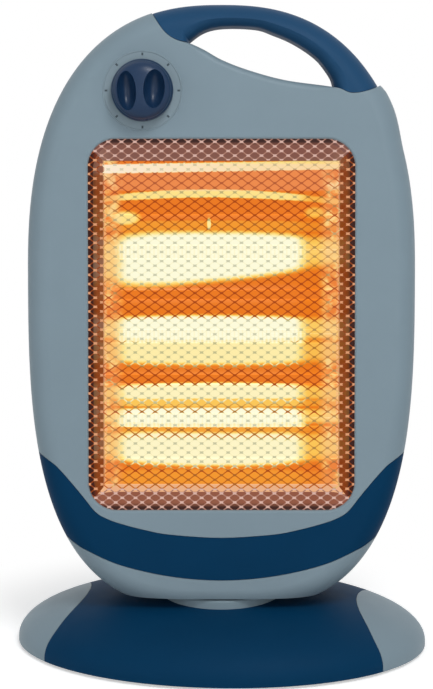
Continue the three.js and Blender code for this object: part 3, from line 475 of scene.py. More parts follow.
base_shell = cut(base_dome(0, BASE_UNDERSIDE), base_dome(BASE_WALL, BASE_UNDERSIDE - 1))
recess = cut(cover_region(CLEARANCE), base_dome(COVER_THICKNESS + CLEARANCE, BASE_UNDERSIDE - 2))
base_shell = cut(base_shell, recess, round_bar(SPIGOT_HOLE, -FAR, FAR, BASE))
finished(base_shell, "base", grey_plastic, "grey_plastic", "base_shell")
base_shell.name = "base_wings"

# ---------------------------------------------------------------- base cover
# The navy panel lies flush over the middle of the base, waisted at the swivel and flaring to the rim.
# It is moulded in the same navy as the smile-shaped trim on the head, and clips into the shell's recess.

blue_plastic = moulded("navy_plastic", "013354", 0.58, variation=0.08, shine=0.06)

base_cover = cut(base_dome(0, BASE_UNDERSIDE), base_dome(COVER_THICKNESS, BASE_UNDERSIDE - 1))
base_cover = cut(keep(base_cover, cover_region(0)), round_bar(COLLAR_RADIUS + CLEARANCE, -FAR, FAR, BASE, 96))
finished(base_cover, "base", blue_plastic, "blue_plastic", "base_cover")
base_cover.name = "base_panel"

# ---------------------------------------------------------------- swivel collar
# A low ring of pale grey plastic round the swivel, which fills the gap between the base and the head's flat
# underside. It has a soft upper edge and stays with the base.

COLLAR_BOTTOM = 36.6
COLLAR_TOP = 43.3
COLLAR_ROUND = 1.6
COLLAR_STEPS = 6

collar_profile = [(SPIGOT_HOLE, COLLAR_BOTTOM), (COLLAR_RADIUS, COLLAR_BOTTOM)]
for step in range(COLLAR_STEPS + 1):
    angle = math.pi / 2 * step / COLLAR_STEPS
    collar_profile.append((COLLAR_RADIUS - COLLAR_ROUND * (1 - math.cos(angle)),
                           COLLAR_TOP - COLLAR_ROUND * (1 - math.sin(angle))))
collar_profile.append((SPIGOT_HOLE, COLLAR_TOP))
collar = turned("neck_collar", collar_profile, BASE, 96, closed=True)
pale_grey_plastic = moulded("pale_grey_plastic", "7F929C", 0.42)
finished(collar, "base", pale_grey_plastic, "grey_plastic", "swivel_collar")

# ---------------------------------------------------------------- front shell of the head
# The front shell, moulded in the same grey-blue: an upright oval with a rounded edge, cut off level below and
# dipped at the top right for the hand hole. The window's edge is rounded, and the trim has a shallow recess.

LEAN = -math.asin(next(j for j in frame["joints"] if j["name"] == "knob_turn")["axis"][2])
HEAD_FRONT = 45
HEAD_FOOT = 44.5
HEAD = (Matrix.Translation((0, -HEAD_FRONT * MM, HEAD_FOOT * MM))
        @ Matrix.Rotation(-LEAN, 4, "X") @ Matrix.Scale(MM, 4))
HEAD_HALF_WIDTH = 136.5
HEAD_WIDEST = 230
HEAD_UPPER = 188
HEAD_LOWER = 239
UPPER_POWER = 2.45
LOWER_POWER = 3
OUTLINE_POINTS = 240
SHOULDER_PROUD = 3
SHOULDER_SPAN = (314.5, 348, 354, 367)  # heights where it starts, is full, is still full and is gone again
WALL = 3
EDGE_ROUND = 16
EDGE_DEPTH = 18
EDGE_RINGS = 12
FRONT_DEPTH = 46
TRIM_THICKNESS = 1.2
TRIM_TOP = [(0, 43.8), (36, 46), (54, 49.3), (70, 53.5), (80, 57), (88.5, 62), (97, 72.5), (105.5, 82.8),
            (113.5, 91.8), (121, 98), (150, 116)]
TRIM_BOTTOM = [(0, 14), (36, 16.8), (70, 24.5), (93.5, 34.5), (106, 41.5), (150, 72)]
TRIM_STEPS = 96
SADDLE = [(-60, 432), (-48, 410), (-39.5, 397.5), (-31, 391.8), (-22.7, 390), (-12.2, 385.3), (0.3, 378.3),
          (18.5, 371.3), (44.4, 364.3), (78, 359.5), (92, 355.2), (109.4, 360), (126, 373)]
SADDLE_STEPS = 110
SADDLE_ROUND = 5
SADDLE_ROUND_SPAN = (-30, -10, 64, 82)  # across, as the shoulder's heights
SADDLE_ROUND_STEPS = 7
WINDOW_WIDTH = 186.5
WINDOW_HEIGHT = 260
WINDOW_CENTRE = 193.4
WINDOW_CORNER = 19.5
WINDOW_ROUND = 1.8
WINDOW_ROUND_STEPS = 5
CORNER_STEPS = 12
SWIVEL_HOLE = 16
SWIVEL_HOLE_TOP = 60


def ease(value, low, high):
    """A smooth climb from nought at the low value to one at the high one."""
    share = max(0, min(1, (value - low) / (high - low)))
    return share * share * (3 - 2 * share)


def swell(value, span):
    """One in the middle of a span, with a smooth climb to it and a smooth fall from it."""
    start, full, still_full, gone = span
    return ease(value, start, full) * (1 - ease(value, still_full, gone))


def quarter(round_off, steps):
    """An edge rounded in steps: how deep each step lies, and how far out it still stands."""
    angles = [math.pi / 2 * step / steps for step in range(steps + 1)]
    return [(round_off * (1 - math.cos(angle)), round_off * (1 - math.sin(angle))) for angle in angles]


def head_outline(depth, inset, size=1.0, drop=0.0, proud=SHOULDER_PROUD):
    """The head's outline at a depth: two half superellipses, moved in by an inset and then drawn smaller.
    On the grey shells the right shoulder stands a little proud of the handle."""
    ring = []
    for i in range(OUTLINE_POINTS):
        angle = 2 * math.pi * i / OUTLINE_POINTS
        upper = math.sin(angle) >= 0
        reach = HEAD_UPPER if upper else HEAD_LOWER
        power = UPPER_POWER if upper else LOWER_POWER
        x = HEAD_HALF_WIDTH * math.copysign(abs(math.cos(angle)) ** (2 / power), math.cos(angle))
        z = reach * math.copysign(abs(math.sin(angle)) ** (2 / power), math.sin(angle))
        normal = Vector((math.copysign(abs(x / HEAD_HALF_WIDTH) ** (power - 1) / HEAD_HALF_WIDTH, x),
                         math.copysign(abs(z / reach) ** (power - 1) / reach, z))).normalized()
        shoulder = swell(HEAD_WIDEST + z, SHOULDER_SPAN) if x > 0 else 0
        out = proud * shoulder - inset
        ring.append(((x + normal.x * out) * size, depth, HEAD_WIDEST - drop + (z + normal.y * out) * size))
    return ring


def front_solid(shrink, back):
    """The front shell as a solid, shrunk by a thickness, with its edge rounded and its back flat."""
    rings = []
    for step in range(EDGE_RINGS + 1):
        angle = math.pi / 2 * step / EDGE_RINGS
        rings.append(head_outline(EDGE_DEPTH - (EDGE_DEPTH - shrink) * math.cos(angle),
                                  EDGE_ROUND - (EDGE_ROUND - shrink) * math.sin(angle)))
    return loft("front_solid", rings + [head_outline(back, shrink)], HEAD)


def across(section, left, right):
    """A section in depth and height, drawn across the head's width."""
    return loft("across", [[(x, depth, z) for depth, z in section] for x in (left, right)], HEAD)


def below_underside(height):
    """Everything under the head's flat underside, which is level when the head leans back."""
    rise = math.tan(LEAN)
    lift = height / math.cos(LEAN)
    section = [(-FAR, -FAR), (FAR, -FAR), (FAR, FAR * rise + lift), (-FAR, -FAR * rise + lift)]
    return across(section, -FAR, FAR)


def above_saddle(lower, rounding=0):
    """Everything above the saddle line. Under the hand hole its front edge may be rounded over."""

    def ring(depth, drop):
        line = curve_points(SADDLE, SADDLE_STEPS, lambda x: -lower - drop * swell(x, SADDLE_ROUND_SPAN))
        outline = line + [(FAR, line[-1][1]), (FAR, 2 * FAR), (-FAR, 2 * FAR), (-FAR, line[0][1])]
        return [(x, depth, z) for x, z in outline]

    edge = [ring(depth, drop) for depth, drop in quarter(rounding, SADDLE_ROUND_STEPS)] if rounding else []
    return loft("above_saddle", [ring(-FAR, rounding)] + edge + [ring(FAR, 0)], HEAD)


def trim_band(grow):
    """Everything in front of and behind the trim's smile, which grows by a gap."""

    def whole(half, offset):
        knots = [(-x, z) for x, z in half[:0:-1]] + half
        return curve_points(knots, TRIM_STEPS, offset)

    outline = whole(TRIM_BOTTOM, -grow) + whole(TRIM_TOP, grow)[::-1]
    return loft("trim_band", [[(x, depth, z) for x, z in outline] for depth in (-FAR, FAR)], HEAD)


def rounded_rectangle(depth, width, height, radius, centre):
    """A ring of points at a depth, round an upright rectangle with rounded corners."""
    ring = []
    for corner, (sx, sz) in enumerate(((1, 1), (-1, 1), (-1, -1), (1, -1))):
        for step in range(CORNER_STEPS + 1):
            angle = math.pi / 2 * (corner + step / CORNER_STEPS)
            ring.append((sx * (width / 2 - radius) + radius * math.cos(angle), depth,
                         centre + sz * (height / 2 - radius) + radius * math.sin(angle)))
    return ring


def window_ring(depth, grow):
    """The window's outline at a depth, grown by a margin."""
    return rounded_rectangle(depth, WINDOW_WIDTH + 2 * grow, WINDOW_HEIGHT + 2 * grow, WINDOW_CORNER + grow,
                             WINDOW_CENTRE)


def window_hole():
    """The window's opening through the wall, with its front edge rounded."""
    edge = [window_ring(depth, grow) for depth, grow in quarter(WINDOW_ROUND, WINDOW_ROUND_STEPS)]
    return loft("window_hole", [window_ring(-1, WINDOW_ROUND)] + edge + [window_ring(WALL + 1, 0)], HEAD)


def swivel_hole():
    """The upright hole in the head's underside that the spigot passes."""
    return round_bar(SWIVEL_HOLE, 0, SWIVEL_HOLE_TOP, Matrix.Scale(MM, 4), 48)


hollow = cut(front_solid(WALL, FRONT_DEPTH + 1), below_underside(WALL), above_saddle(WALL))
recess = cut(trim_band(CLEARANCE), front_solid(TRIM_THICKNESS + CLEARANCE, FRONT_DEPTH + 2))
front_shell = cut(front_solid(0, FRONT_DEPTH), below_underside(0), above_saddle(0, SADDLE_ROUND), hollow,
                  recess, window_hole(), swivel_hole())
finished(front_shell, "head", grey_plastic, "grey_plastic", "front_housing")
front_shell.name = "front_casing"

# ---------------------------------------------------------------- trim
# The navy plastic smile under the window follows the shell's rounded edge, flush in its recess and only a
# little over a millimetre thick. It runs out to the head's sides, a good way under its widest part.

trim = cut(front_solid(0, FRONT_DEPTH), front_solid(TRIM_THICKNESS, FRONT_DEPTH + 1))
trim = cut(keep(trim, trim_band(0)), below_underside(0))
finished(trim, "head", blue_plastic, "blue_plastic", "front_trim")
trim.name = "smile_trim"

# ---------------------------------------------------------------- reflector
# A pressed pan of polished aluminium with sloping walls and a rounded trough behind each tube, held by its
# flange behind the window. Its light is painted in its emission: painted reflections of the lit tubes in the
# troughs, as broad pale bands on an orange ground, with painted shade and highlights on its walls.

TUBE_HEIGHTS = [124, 184, 244]
TUBE_RADIUS = 5
TUBE_DEPTH = 35
PAN_SHEET = 0.8
PAN_FRONT = 4.6
PAN_MOUTH_WIDTH = 180
PAN_MOUTH_HEIGHT = 256
PAN_FLANGE = 11
PAN_FLOOR = 26
PAN_FLOOR_WIDTH = 166
PAN_FLOOR_HEIGHT = 230
PAN_CORNER = 5
TROUGH_HALF = 27
TROUGH_DEPTH = 22
TROUGH_STEPS = 32

# The bands of painted reflected light, from the top: the height of the middle, half the height, how white it
# is from orange at 0 to cream at 1, its climb in each millimetre to the right, its swelling to the right,
# and its bow.
LIGHT_BANDS = [
    (285.4, 3.0, 0.74, -0.012, 0, 0.0007), (262, 4.5, 0.26, 0, 0, 0), (241.2, 18.6, 1.0, 0.04, -0.0028, 0),
    (189.5, 9.7, 1.0, 0, 0, 0), (173.6, 10.8, 0.84, 0, 0, 0), (144.8, 7.2, 0.9, 0, 0, 0.0003),
    (135.4, 3.2, 0.55, 0, 0, 0), (126.6, 5.8, 1.0, 0, 0, 0), (117.5, 4, 0.34, 0, 0, 0),
    (103.2, 11.9, 0.93, 0, 0, -0.0004), (83, 7, 0.24, 0, 0, 0),
]
BAND_MIDDLE = -7.5
BAND_HALF_LENGTH = 70
BAND_EDGE = (1.28, 0.45)  # shares of the half height between which a band grows to its full white
BAND_SQUARENESS = 2.6
BAND_NARROWING = 0.45
BAND_FADE = (0.84, 1.02)  # shares of the half length between which it fades
BAND_END_WHITE = 0.58  # how white a band still is beyond its ends
TOP_LINE = (304.2, 3.4, 0.018)  # painted highlight along the pan's top edge: height, half height and climb
TOP_LINE_EDGE = (1.1, 0.8)
TOP_LINE_WHITE = (0.82, 0.0019)  # in the middle, and its loss in each millimetre to the right
# Painted glints of mirrored light on the pan: small bright patches in its emission.
PAINTED_GLINTS = [(-68, 268, 13, 6.5, 0.72), (-8.8, 264, 2, 5.5, 0.8), (66, 272, 9, 5, 0.45)]  # place, reach, white
RIPPLE_SPOTS = 300
RIPPLE = 1.4  # how far the painted reflection is moved, as by the sheet's waviness, in millimetres
SIDE_STRIPS = (68, 76)  # where the paler strips of painted light beside the bands begin and are full
# The painted light in those strips is mottled.
MOTTLE_SPOTS = 110
MOTTLE = (0.42, 0.62)
MOTTLE_WHITE = 0.62
PALE_ROW = (297, 10.5)  # the painted top line and the painted row under it are pinkish: height and half height
PALE_ROW_PINK = 0.38
STRIPS_PINK = 0.22
WALL_SHADE = (-2.5, 0.2)  # distances from the pan's mouth between which painted shade darkens its walls
FOLD_LIGHT_HALF = 0.7  # half the width of the painted highlight along the fold round the floor
FOLD_LIGHT_END_WIDTH = 3.4  # how much wider it is at the lower end
FOLD_LIGHT_UPPER = 0.75  # how bright it is on the upper half of the sides, against the lower half
UNLIT = "1E1614"


def head_place(tree):
    """Across, depth and height on the head's own face, in millimetres, from the piece's coordinates."""
    unlean = HEAD.inverted()
    place = tree.node("ShaderNodeTexCoord", output="Object")
    mapped = tree.node("ShaderNodeMapping", {
        "Vector": place, "Location": unlean.to_translation(), "Rotation": (LEAN, 0, 0),
        "Scale": (1 / MM,) * 3})
    return tree.node("ShaderNodeSeparateXYZ", {"Vector": mapped})


def rippled(tree):
    """How far the painted reflection is moved, as by the sheet's slight waviness."""
    return (textured(tree, RIPPLE_SPOTS, 2) - 0.5) * RIPPLE


def along_band(tree, across, ripple):
    """How far along a band's half length a place is: 0 in its middle and 1 at its ends."""
    return tree.maths("ABSOLUTE", across - BAND_MIDDLE + ripple * 2.5) / BAND_HALF_LENGTH


def whiteness(tree, side):
    """How white the painted light is at a place: mirrored bands, a few glints, and mottled strips beside
    them.
    """
    across, height = side, side.out("Z")
    ripple = rippled(tree)
    along = along_band(tree, across, ripple)
    narrowing = tree.maths("MINIMUM", along ** 3, 1.0) * BAND_NARROWING
    fade = graded(along, *BAND_FADE, top=BAND_END_WHITE, bottom=1)
    level, half, climb = TOP_LINE
    away = tree.maths("ABSOLUTE", height - (level + across * climb) + ripple * 0.5) / half
    middle_white, loss = TOP_LINE_WHITE
    white = graded(away, *TOP_LINE_EDGE) * (middle_white - across * loss)
    for middle, half, strength, climb, swelling, bow in LIGHT_BANDS:
        centre = middle + across * climb - across * across * bow
        away = tree.maths("ABSOLUTE", height - centre + ripple) / ((1 + across * swelling) * half)
        band = graded(away ** BAND_SQUARENESS + narrowing, *BAND_EDGE, top=strength)
        white = tree.maths("MAXIMUM", white, band * fade)
    for x, z, half_x, half_z, strength in PAINTED_GLINTS:
        away = ((across - x) / half_x) ** 2 + ((height - z) / half_z) ** 2
        white = tree.maths("MAXIMUM", white, graded(away, 1, 0.2, top=strength))
    mottle = graded(textured(tree, MOTTLE_SPOTS), *MOTTLE, top=MOTTLE_WHITE, smooth=False)
    return tree.maths("MAXIMUM", white, side_strips(tree, across) * mottle)


def side_strips(tree, across):
    """One over the two strips of the floor beside the bands' ends."""
    return graded(tree.maths("ABSOLUTE", across), *SIDE_STRIPS)


def pinkness(tree, side):
    """Where the painted light is pinkish, not yellow: the row under the top line, and the side strips."""
    level, half = PALE_ROW
    row = graded(tree.maths("ABSOLUTE", side.out("Z") - level), half, half - 2, top=PALE_ROW_PINK)
    return tree.maths("MAXIMUM", row, side_strips(tree, side) * STRIPS_PINK)


def glow(white, pink, stops):
    """The colour of painted light or wire, or of the tubes' glow, at a whiteness, turned towards pink."""
    plain = white.node("ShaderNodeValToRGB", {"Fac": white}, stops=stops)
    pinkish = blend(white, paint("F0B48C"), paint("F8DCD2"))
    return blend(pink * (0.6 + white * 0.9), plain, pinkish)


GLOW_STOPS = ((0, paint("EA781A")), (0.3, paint("F49C2E")), (0.55, paint("FAC658")), (0.78, paint("FDE690")),
              (1, paint("FCFADA")))


def beyond_floor(tree, side):
    """How far a place lies outside the pan's flat floor, across and up, in millimetres."""
    up = side.out("Z") - WINDOW_CENTRE
    return (tree.maths("ABSOLUTE", side) - PAN_FLOOR_WIDTH / 2,
            tree.maths("ABSOLUTE", up) - PAN_FLOOR_HEIGHT / 2, up)


def lit_aluminium():
    """Polished sheet with its light painted: bands mirrored on the floor, dim walls, a bright fold between.
    """
    material, tree = blank_material("lit_aluminium")
    side = head_place(tree)
    # Painted light on the pan's floor: the mirrored bands, glints and strips.
    floor_glow = glow(whiteness(tree, side), pinkness(tree, side), GLOW_STOPS)
    beyond_side, beyond_end, up = beyond_floor(tree, side)
    end_wall = beyond_end > beyond_side
    # Painted light on the walls: orange on the end walls, lighter on the upper side walls than on the lower
    # ones.
    wall = blend(end_wall, paint("702A0A"), blend(up > 0, paint("8C5442"), paint("7A5048")))
    from_mouth = tree.maths("MAXIMUM", beyond_side - (PAN_MOUTH_WIDTH - PAN_FLOOR_WIDTH) / 2,
                            beyond_end - (PAN_MOUTH_HEIGHT - PAN_FLOOR_HEIGHT) / 2)
    # Painted shade: the walls darken towards the pan's mouth.
    wall = blend(graded(from_mouth, *WALL_SHADE, top=0.9, smooth=False), wall, paint("241010"))
    beyond = tree.maths("MAXIMUM", beyond_side, beyond_end)
    lit = blend(graded(beyond, -0.3, 0.3, smooth=False), floor_glow, wall)
    # A painted highlight along the fold: full on the lower half, weaker on the upper sides, none on the upper
    # end.
    bright = tree.maths("MAXIMUM", up < 0, FOLD_LIGHT_UPPER - end_wall)
    fold = (beyond > -FOLD_LIGHT_HALF) * (beyond < FOLD_LIGHT_HALF + end_wall * FOLD_LIGHT_END_WIDTH) * bright
    lit = blend(fold * (0.4 + end_wall * 0.4), lit, paint("F8BE90"))
    streak = textured(tree, 220, 2)
    bump = tree.node("ShaderNodeBump", {"Height": streak, "Strength": 0.15, "Distance": 0.0006})
    surfaced(tree, {
        "Base Color": paint(UNLIT), "Metallic": 0.6, "Roughness": 0.3 + (streak - 0.5) * 0.1, "Normal": bump,
        "Specular IOR Level": 0.1, "Emission Color": lit, "Emission Strength": 1.0})
    return material


def pan_inside(grow, front):
    """The pan's inside as a solid with its troughs, from a depth in front, grown by the sheet or not."""

    def ring(depth, width, height, radius):
        return rounded_rectangle(depth, width + 2 * grow, height + 2 * grow, radius + grow, WINDOW_CENTRE)

    form = loft("pan_inside", [ring(front, PAN_MOUTH_WIDTH, PAN_MOUTH_HEIGHT, WINDOW_CORNER),
                               ring(PAN_FLOOR + grow, PAN_FLOOR_WIDTH, PAN_FLOOR_HEIGHT, PAN_CORNER)], HEAD)
    troughs = []
    for z in TUBE_HEIGHTS:
        section = [(PAN_FLOOR - 1, z - TROUGH_HALF - grow)]
        for step in range(TROUGH_STEPS + 1):
            angle = math.pi * step / TROUGH_STEPS
            section.append((PAN_FLOOR + (TROUGH_DEPTH + grow) * math.sin(angle),
                            z - (TROUGH_HALF + grow) * math.cos(angle)))
        section.append((PAN_FLOOR - 1, z + TROUGH_HALF + grow))
        troughs.append(across(section, -PAN_FLOOR_WIDTH / 2 - grow, PAN_FLOOR_WIDTH / 2 + grow))
    return join(form, *troughs)


def tube_line(z):
    """The place of a tube at a height on the head, with its own z along the tube."""
    return HEAD @ Matrix.Translation((0, TUBE_DEPTH, z)) @ Matrix.Rotation(math.pi / 2, 4, "Y")


flange_rings = [window_ring(depth, PAN_FLANGE) for depth in (PAN_FRONT, PAN_FRONT + PAN_SHEET)]
reflector = join(loft("flange", flange_rings, HEAD), pan_inside(PAN_SHEET, PAN_FRONT))
reflector = cut(reflector, pan_inside(0, PAN_FRONT - 1),
                *[round_bar(TUBE_RADIUS + CLEARANCE, -FAR, FAR, tube_line(z), 32) for z in TUBE_HEIGHTS])
finished(reflector, "head", lit_aluminium(), "bright_aluminium", "reflector")
reflector.name = "polished_reflector"

# ---------------------------------------------------------------- halogen tubes
# Three clear quartz tubes, glowing too bright to show their filaments, with a small sealing pip near each
# one's middle. Their drawn-in ends sit in white ceramic caps outside the pan.

PIP_X = -6
PIP_PROFILE = [(1.8, 1), (1.8, TUBE_RADIUS + 0.4), (1.2, TUBE_RADIUS + 1.4), (0.3, TUBE_RADIUS + 2)]
CAP_START = PAN_FLOOR_WIDTH / 2 + PAN_SHEET + 1.5
TUBE_HALF = CAP_START - CLEARANCE
STEM_RADIUS = 2.5
STEM_LENGTH = 3
TUBE_TAPER = 4
COIL_TURNS = 2.2  # radians of its winding in each millimetre


def lit_quartz():
    """Glowing quartz, as bright as its painted reflections, with its coil's turns just told apart."""
    material, tree = blank_material("lit_quartz")
    side = head_place(tree)
    inside = graded(along_band(tree, side, rippled(tree)) ** 6, 1.2, 0.5, top=0.9)
    coil = tree.maths("SINE", side * COIL_TURNS) * 0.06
    white = tree.maths("MAXIMUM", whiteness(tree, side), inside) - inside * coil
    surfaced(tree, {
        "Base Color": paint(UNLIT), "Roughness": 0.1, "Specular IOR Level": 0.2,
        "Emission Color": glow(white, pinkness(tree, side), GLOW_STOPS), "Emission Strength": 1.0})
    return material


half_profile = [(TUBE_RADIUS, TUBE_HALF - TUBE_TAPER), (STEM_RADIUS, TUBE_HALF),
                (STEM_RADIUS, TUBE_HALF + STEM_LENGTH)]
tube_profile = [(radius, -z) for radius, z in half_profile[::-1]] + half_profile
quartz = lit_quartz()
for number, z in enumerate(TUBE_HEIGHTS, 1):
    pip_turn = HEAD @ Matrix.Translation((PIP_X, TUBE_DEPTH, z)) @ Matrix.Rotation(math.pi / 2, 4, "X")
    tube = turned("quartz_tube", tube_profile, tube_line(z), 40)
    tube = join(tube, turned("pip", PIP_PROFILE, pip_turn, 20))
    finished(tube, "head", quartz, "quartz_glass", f"halogen_tube_{number}")
    tube.name = f"lit_tube_{number}"

ceramic = moulded("white_ceramic", "E9E4D8", 0.5, grain=0.1)
dress(ceramic, *[f"ceramic_cap_{side}_{number}" for side in ("left", "right") for number in (1, 2, 3)])

# ---------------------------------------------------------------- diamond grille
# Expanded steel mesh behind the window: thin strands slit and stretched into diamonds, joined side by side at
# the crossings, in a flat rolled border that the front shell and the pan's flange hold between them.

GRILLE_FRONT = 3.3
GRILLE_PITCH_ACROSS = 9.3
GRILLE_PITCH_UP = 6.4
STRAND = 0.85
BOND = 1.5
GRILLE_THICKNESS = 0.8
GRILLE_MARGIN = 3
GRILLE_BORDER = 4


def geometry_tree(name, inputs):
    """A new geometry tree with named inputs, and its start. Inputs are pairs of name and socket type."""
    tree = bpy.data.node_groups.new(name, "GeometryNodeTree")
    tree.interface.new_socket("Geometry", in_out="OUTPUT", socket_type="NodeSocketGeometry")
    for label, kind in inputs:
        tree.interface.new_socket(label, in_out="INPUT", socket_type="NodeSocket" + kind)
    return tree, Field(tree).node("NodeGroupInput")


def grown(name, tree, values, place):
    """The mesh that a geometry tree makes from these values of its named inputs, put in place."""
    host = bpy.data.objects.new(name, bpy.data.meshes.new(name))
    bpy.context.collection.objects.link(host)
    modifier = host.modifiers.new("build", "NODES")
    modifier.node_group = tree
    for item in tree.interface.items_tree:
        if item.in_out == "INPUT" and item.name in values:
            modifier[item.identifier] = values[item.name]
    evaluated_mesh(host)
    host.data.transform(place)
    return host


def gathered(given, parts):
    """Several geometries as one."""
    together = given.node("GeometryNodeJoinGeometry")
    for part in parts:
        given.tree.links.new(part.socket, together.socket.node.inputs[0])
    return together


def painted(given, parts):
    """The end of a tree: its copies made real, with the material on them."""
    solid = given.node("GeometryNodeRealizeInstances", {"Geometry": parts})
    coated = given.node("GeometryNodeSetMaterial", {"Geometry": solid, "Material": given.out("Material")})
    given.node("NodeGroupOutput", {"Geometry": coated})


def expanded_metal():
    """Rows of zigzag strands, every other one moved across by half a diamond, in a rounded border."""
    sizes = ("Width", "Height", "Pitch Across", "Pitch Up", "Strand", "Bond", "Thickness", "Border", "Corner")
    inputs = [(label, "Float") for label in sizes] + [("Material", "Material")]
    tree, given = geometry_tree("expanded_metal", inputs)
    width, height, strand = given.out("Width"), given.out("Height"), given.out("Strand")
    across_pitch, up_pitch, bond = given.out("Pitch Across"), given.out("Pitch Up"), given.out("Bond")
    turns = given.maths("CEIL", width / across_pitch)
    line = given.node("GeometryNodeCurvePrimitiveLine", {"End": (1, 0, 0)})
    line = given.node("GeometryNodeResampleCurve", {"Curve": line, "Count": turns * 4}, mode="COUNT")
    index = given.node("GeometryNodeInputIndex")
    pair = given.maths("FLOOR", index / 2)
    x = pair * across_pitch / 2 + (index - pair * 2 - 0.5) * bond - turns * across_pitch / 2
    rise = up_pitch / 2 - strand * 0.9
    z = (pair - given.maths("FLOOR", pair / 2) * 2 - 0.5) * rise
    zigzag = given.node("GeometryNodeSetPosition", {
        "Geometry": line, "Position": given.node("ShaderNodeCombineXYZ", {"X": x, "Z": z})})
    section = given.node("GeometryNodeCurvePrimitiveQuadrilateral", {
        "Width": given.out("Thickness"), "Height": strand})
    wire = given.node("GeometryNodeCurveToMesh", {
        "Curve": zigzag, "Profile Curve": section, "Fill Caps": True})
    rows = given.maths("CEIL", height / up_pitch) * 2
    places = given.node("GeometryNodeMeshLine", {
        "Count": rows, "Offset": given.node("ShaderNodeCombineXYZ", {"Z": up_pitch / 2}),
        "Start Location": given.node("ShaderNodeCombineXYZ", {"Z": (1 - rows) * up_pitch / 4})})
    odd = index - given.maths("FLOOR", index / 2) * 2
    places = given.node("GeometryNodeSetPosition", {
        "Geometry": places, "Offset": given.node("ShaderNodeCombineXYZ", {"X": odd * across_pitch / 2})})
    strands = given.node("GeometryNodeInstanceOnPoints", {"Points": places, "Instance": wire})
    frame_line = given.node("GeometryNodeCurvePrimitiveQuadrilateral", {
        "Width": width + given.out("Border"), "Height": height + given.out("Border")})
    frame_line = given.node("GeometryNodeFilletCurve", {
        "Curve": frame_line, "Radius": given.out("Corner"), "Count": 10}, mode="POLY")
    upright = given.node("GeometryNodeTransform", {"Geometry": frame_line, "Rotation": (math.pi / 2, 0, 0)})
    frame_section = given.node("GeometryNodeCurvePrimitiveQuadrilateral", {
        "Width": given.out("Thickness"), "Height": given.out("Border")})
    border = given.node("GeometryNodeCurveToMesh", {"Curve": upright, "Profile Curve": frame_section})
    painted(given, gathered(given, (strands, border)))
    return tree


def painted_light_wire():
    """Steel wire with its light painted: dark over the orange, lost in the painted flare over the bands but
    for its crossings, and painted pinkish where it would catch light in front of the dim walls."""
    material, tree = blank_material("painted_light_wire")
    side = head_place(tree)
    white, pink = whiteness(tree, side), pinkness(tree, side) * 0.5
    # Painted light on the wire over the pan's floor: strands take the glow's colour, crossings stay a little
    # darker.
    strand = glow(white, pink, (
        (0, paint("B84C04")), (0.3, paint("C86C10")), (0.55, paint("DA9C40")), (0.8, paint("F2E096")),
        (1, paint("FAF5CE"))))
    crossing = glow(white, pink, (
        (0, paint("A84404")), (0.5, paint("B07A30")), (0.8, paint("BEB880")), (1, paint("CACAAC"))))
    beyond_side, beyond_end, up = beyond_floor(tree, side)
    wave = (tree.maths("COSINE", side * (2 * math.pi / GRILLE_PITCH_ACROSS))
            * tree.maths("COSINE", up * (2 * math.pi / GRILLE_PITCH_UP)))
    bonded = graded(wave, -0.4, -0.6, smooth=False)
    end_wall = beyond_end > beyond_side
    # Painted light on the wire over the walls: dim strands, with painted highlights on the crossings.
    dim = blend(end_wall, paint("8E4016"), paint("AA7A6A"))
    bright = blend(end_wall, paint("DC9A70"), paint("D6B0A4"))
    over_wall = tree.maths("MAXIMUM", beyond_side, beyond_end) > 0
    lit = blend(over_wall, blend(bonded, strand, crossing), blend(bonded, dim, bright))
    surfaced(tree, {
        "Base Color": paint("181210"), "Metallic": 0.7, "Roughness": 0.45, "Specular IOR Level": 0.1,
        "Emission Color": lit, "Emission Strength": 1.0})
    return material


wire = painted_light_wire()
grille = grown("diamond_mesh", expanded_metal(), {
    "Width": WINDOW_WIDTH + 2 * GRILLE_MARGIN, "Height": WINDOW_HEIGHT + 2 * GRILLE_MARGIN,
    "Pitch Across": GRILLE_PITCH_ACROSS, "Pitch Up": GRILLE_PITCH_UP, "Strand": STRAND, "Bond": BOND,
    "Thickness": GRILLE_THICKNESS, "Border": GRILLE_BORDER, "Corner": WINDOW_CORNER, "Material": wire},
    HEAD @ Matrix.Translation((0, GRILLE_FRONT + GRILLE_THICKNESS / 2, WINDOW_CENTRE)))
finished(grille, "head", wire, "grille_wire", "grille")

# ---------------------------------------------------------------- rear shell of the head
# The rear shell, moulded like the front one, domes back to a small flat. Two groups of slots let the heat
# out, and four deep wells take the screws that hold the shells together.

REAR_START = FRONT_DEPTH + CLEARANCE
REAR_DEPTH = 62
REAR_FLAT = 0.42
REAR_POWER = 1.9
REAR_DROP = 12
REAR_RINGS = 20
VENT_ROWS = 7
VENT_PITCH = 10
VENT_WIDTH = 76
VENT_SLOT = 4
VENT_DEPTH = 60
VENT_GROUPS = (222, 108)
SCREW_PLACES = [(x, z) for x in (-110, 110) for z in (118, 285)]
PILLAR_RADIUS = 5.5
SCREW_SEAT = 57
SCREW_HEAD_RADIUS = 3.6


def rear_solid(shrink, start):
    """The rear shell as a solid, shrunk by a thickness, from a flat front at a depth."""
    rings = [head_outline(start, shrink)]
    for step in range(1, REAR_RINGS + 1):
        share = math.sin(math.pi / 2 * step / REAR_RINGS)
        size = REAR_FLAT + (1 - REAR_FLAT) * max(0, 1 - share ** REAR_POWER) ** (1 / REAR_POWER)
        depth = FRONT_DEPTH + (REAR_DEPTH - shrink) * share
        rings.append(head_outline(depth, shrink, size, REAR_DROP * share))
    return loft("rear_solid", rings, HEAD)


def rearward(x, depth, z):
    """A place on the head with its own z pointing to the back."""
    return HEAD @ Matrix.Translation((x, depth, z)) @ Matrix.Rotation(-math.pi / 2, 4, "X")


def head_peg(radius, x, z, front, back):
    """A round bar from one depth in the head to another."""
    return round_bar(radius, front, back, rearward(x, 0, z), 32)


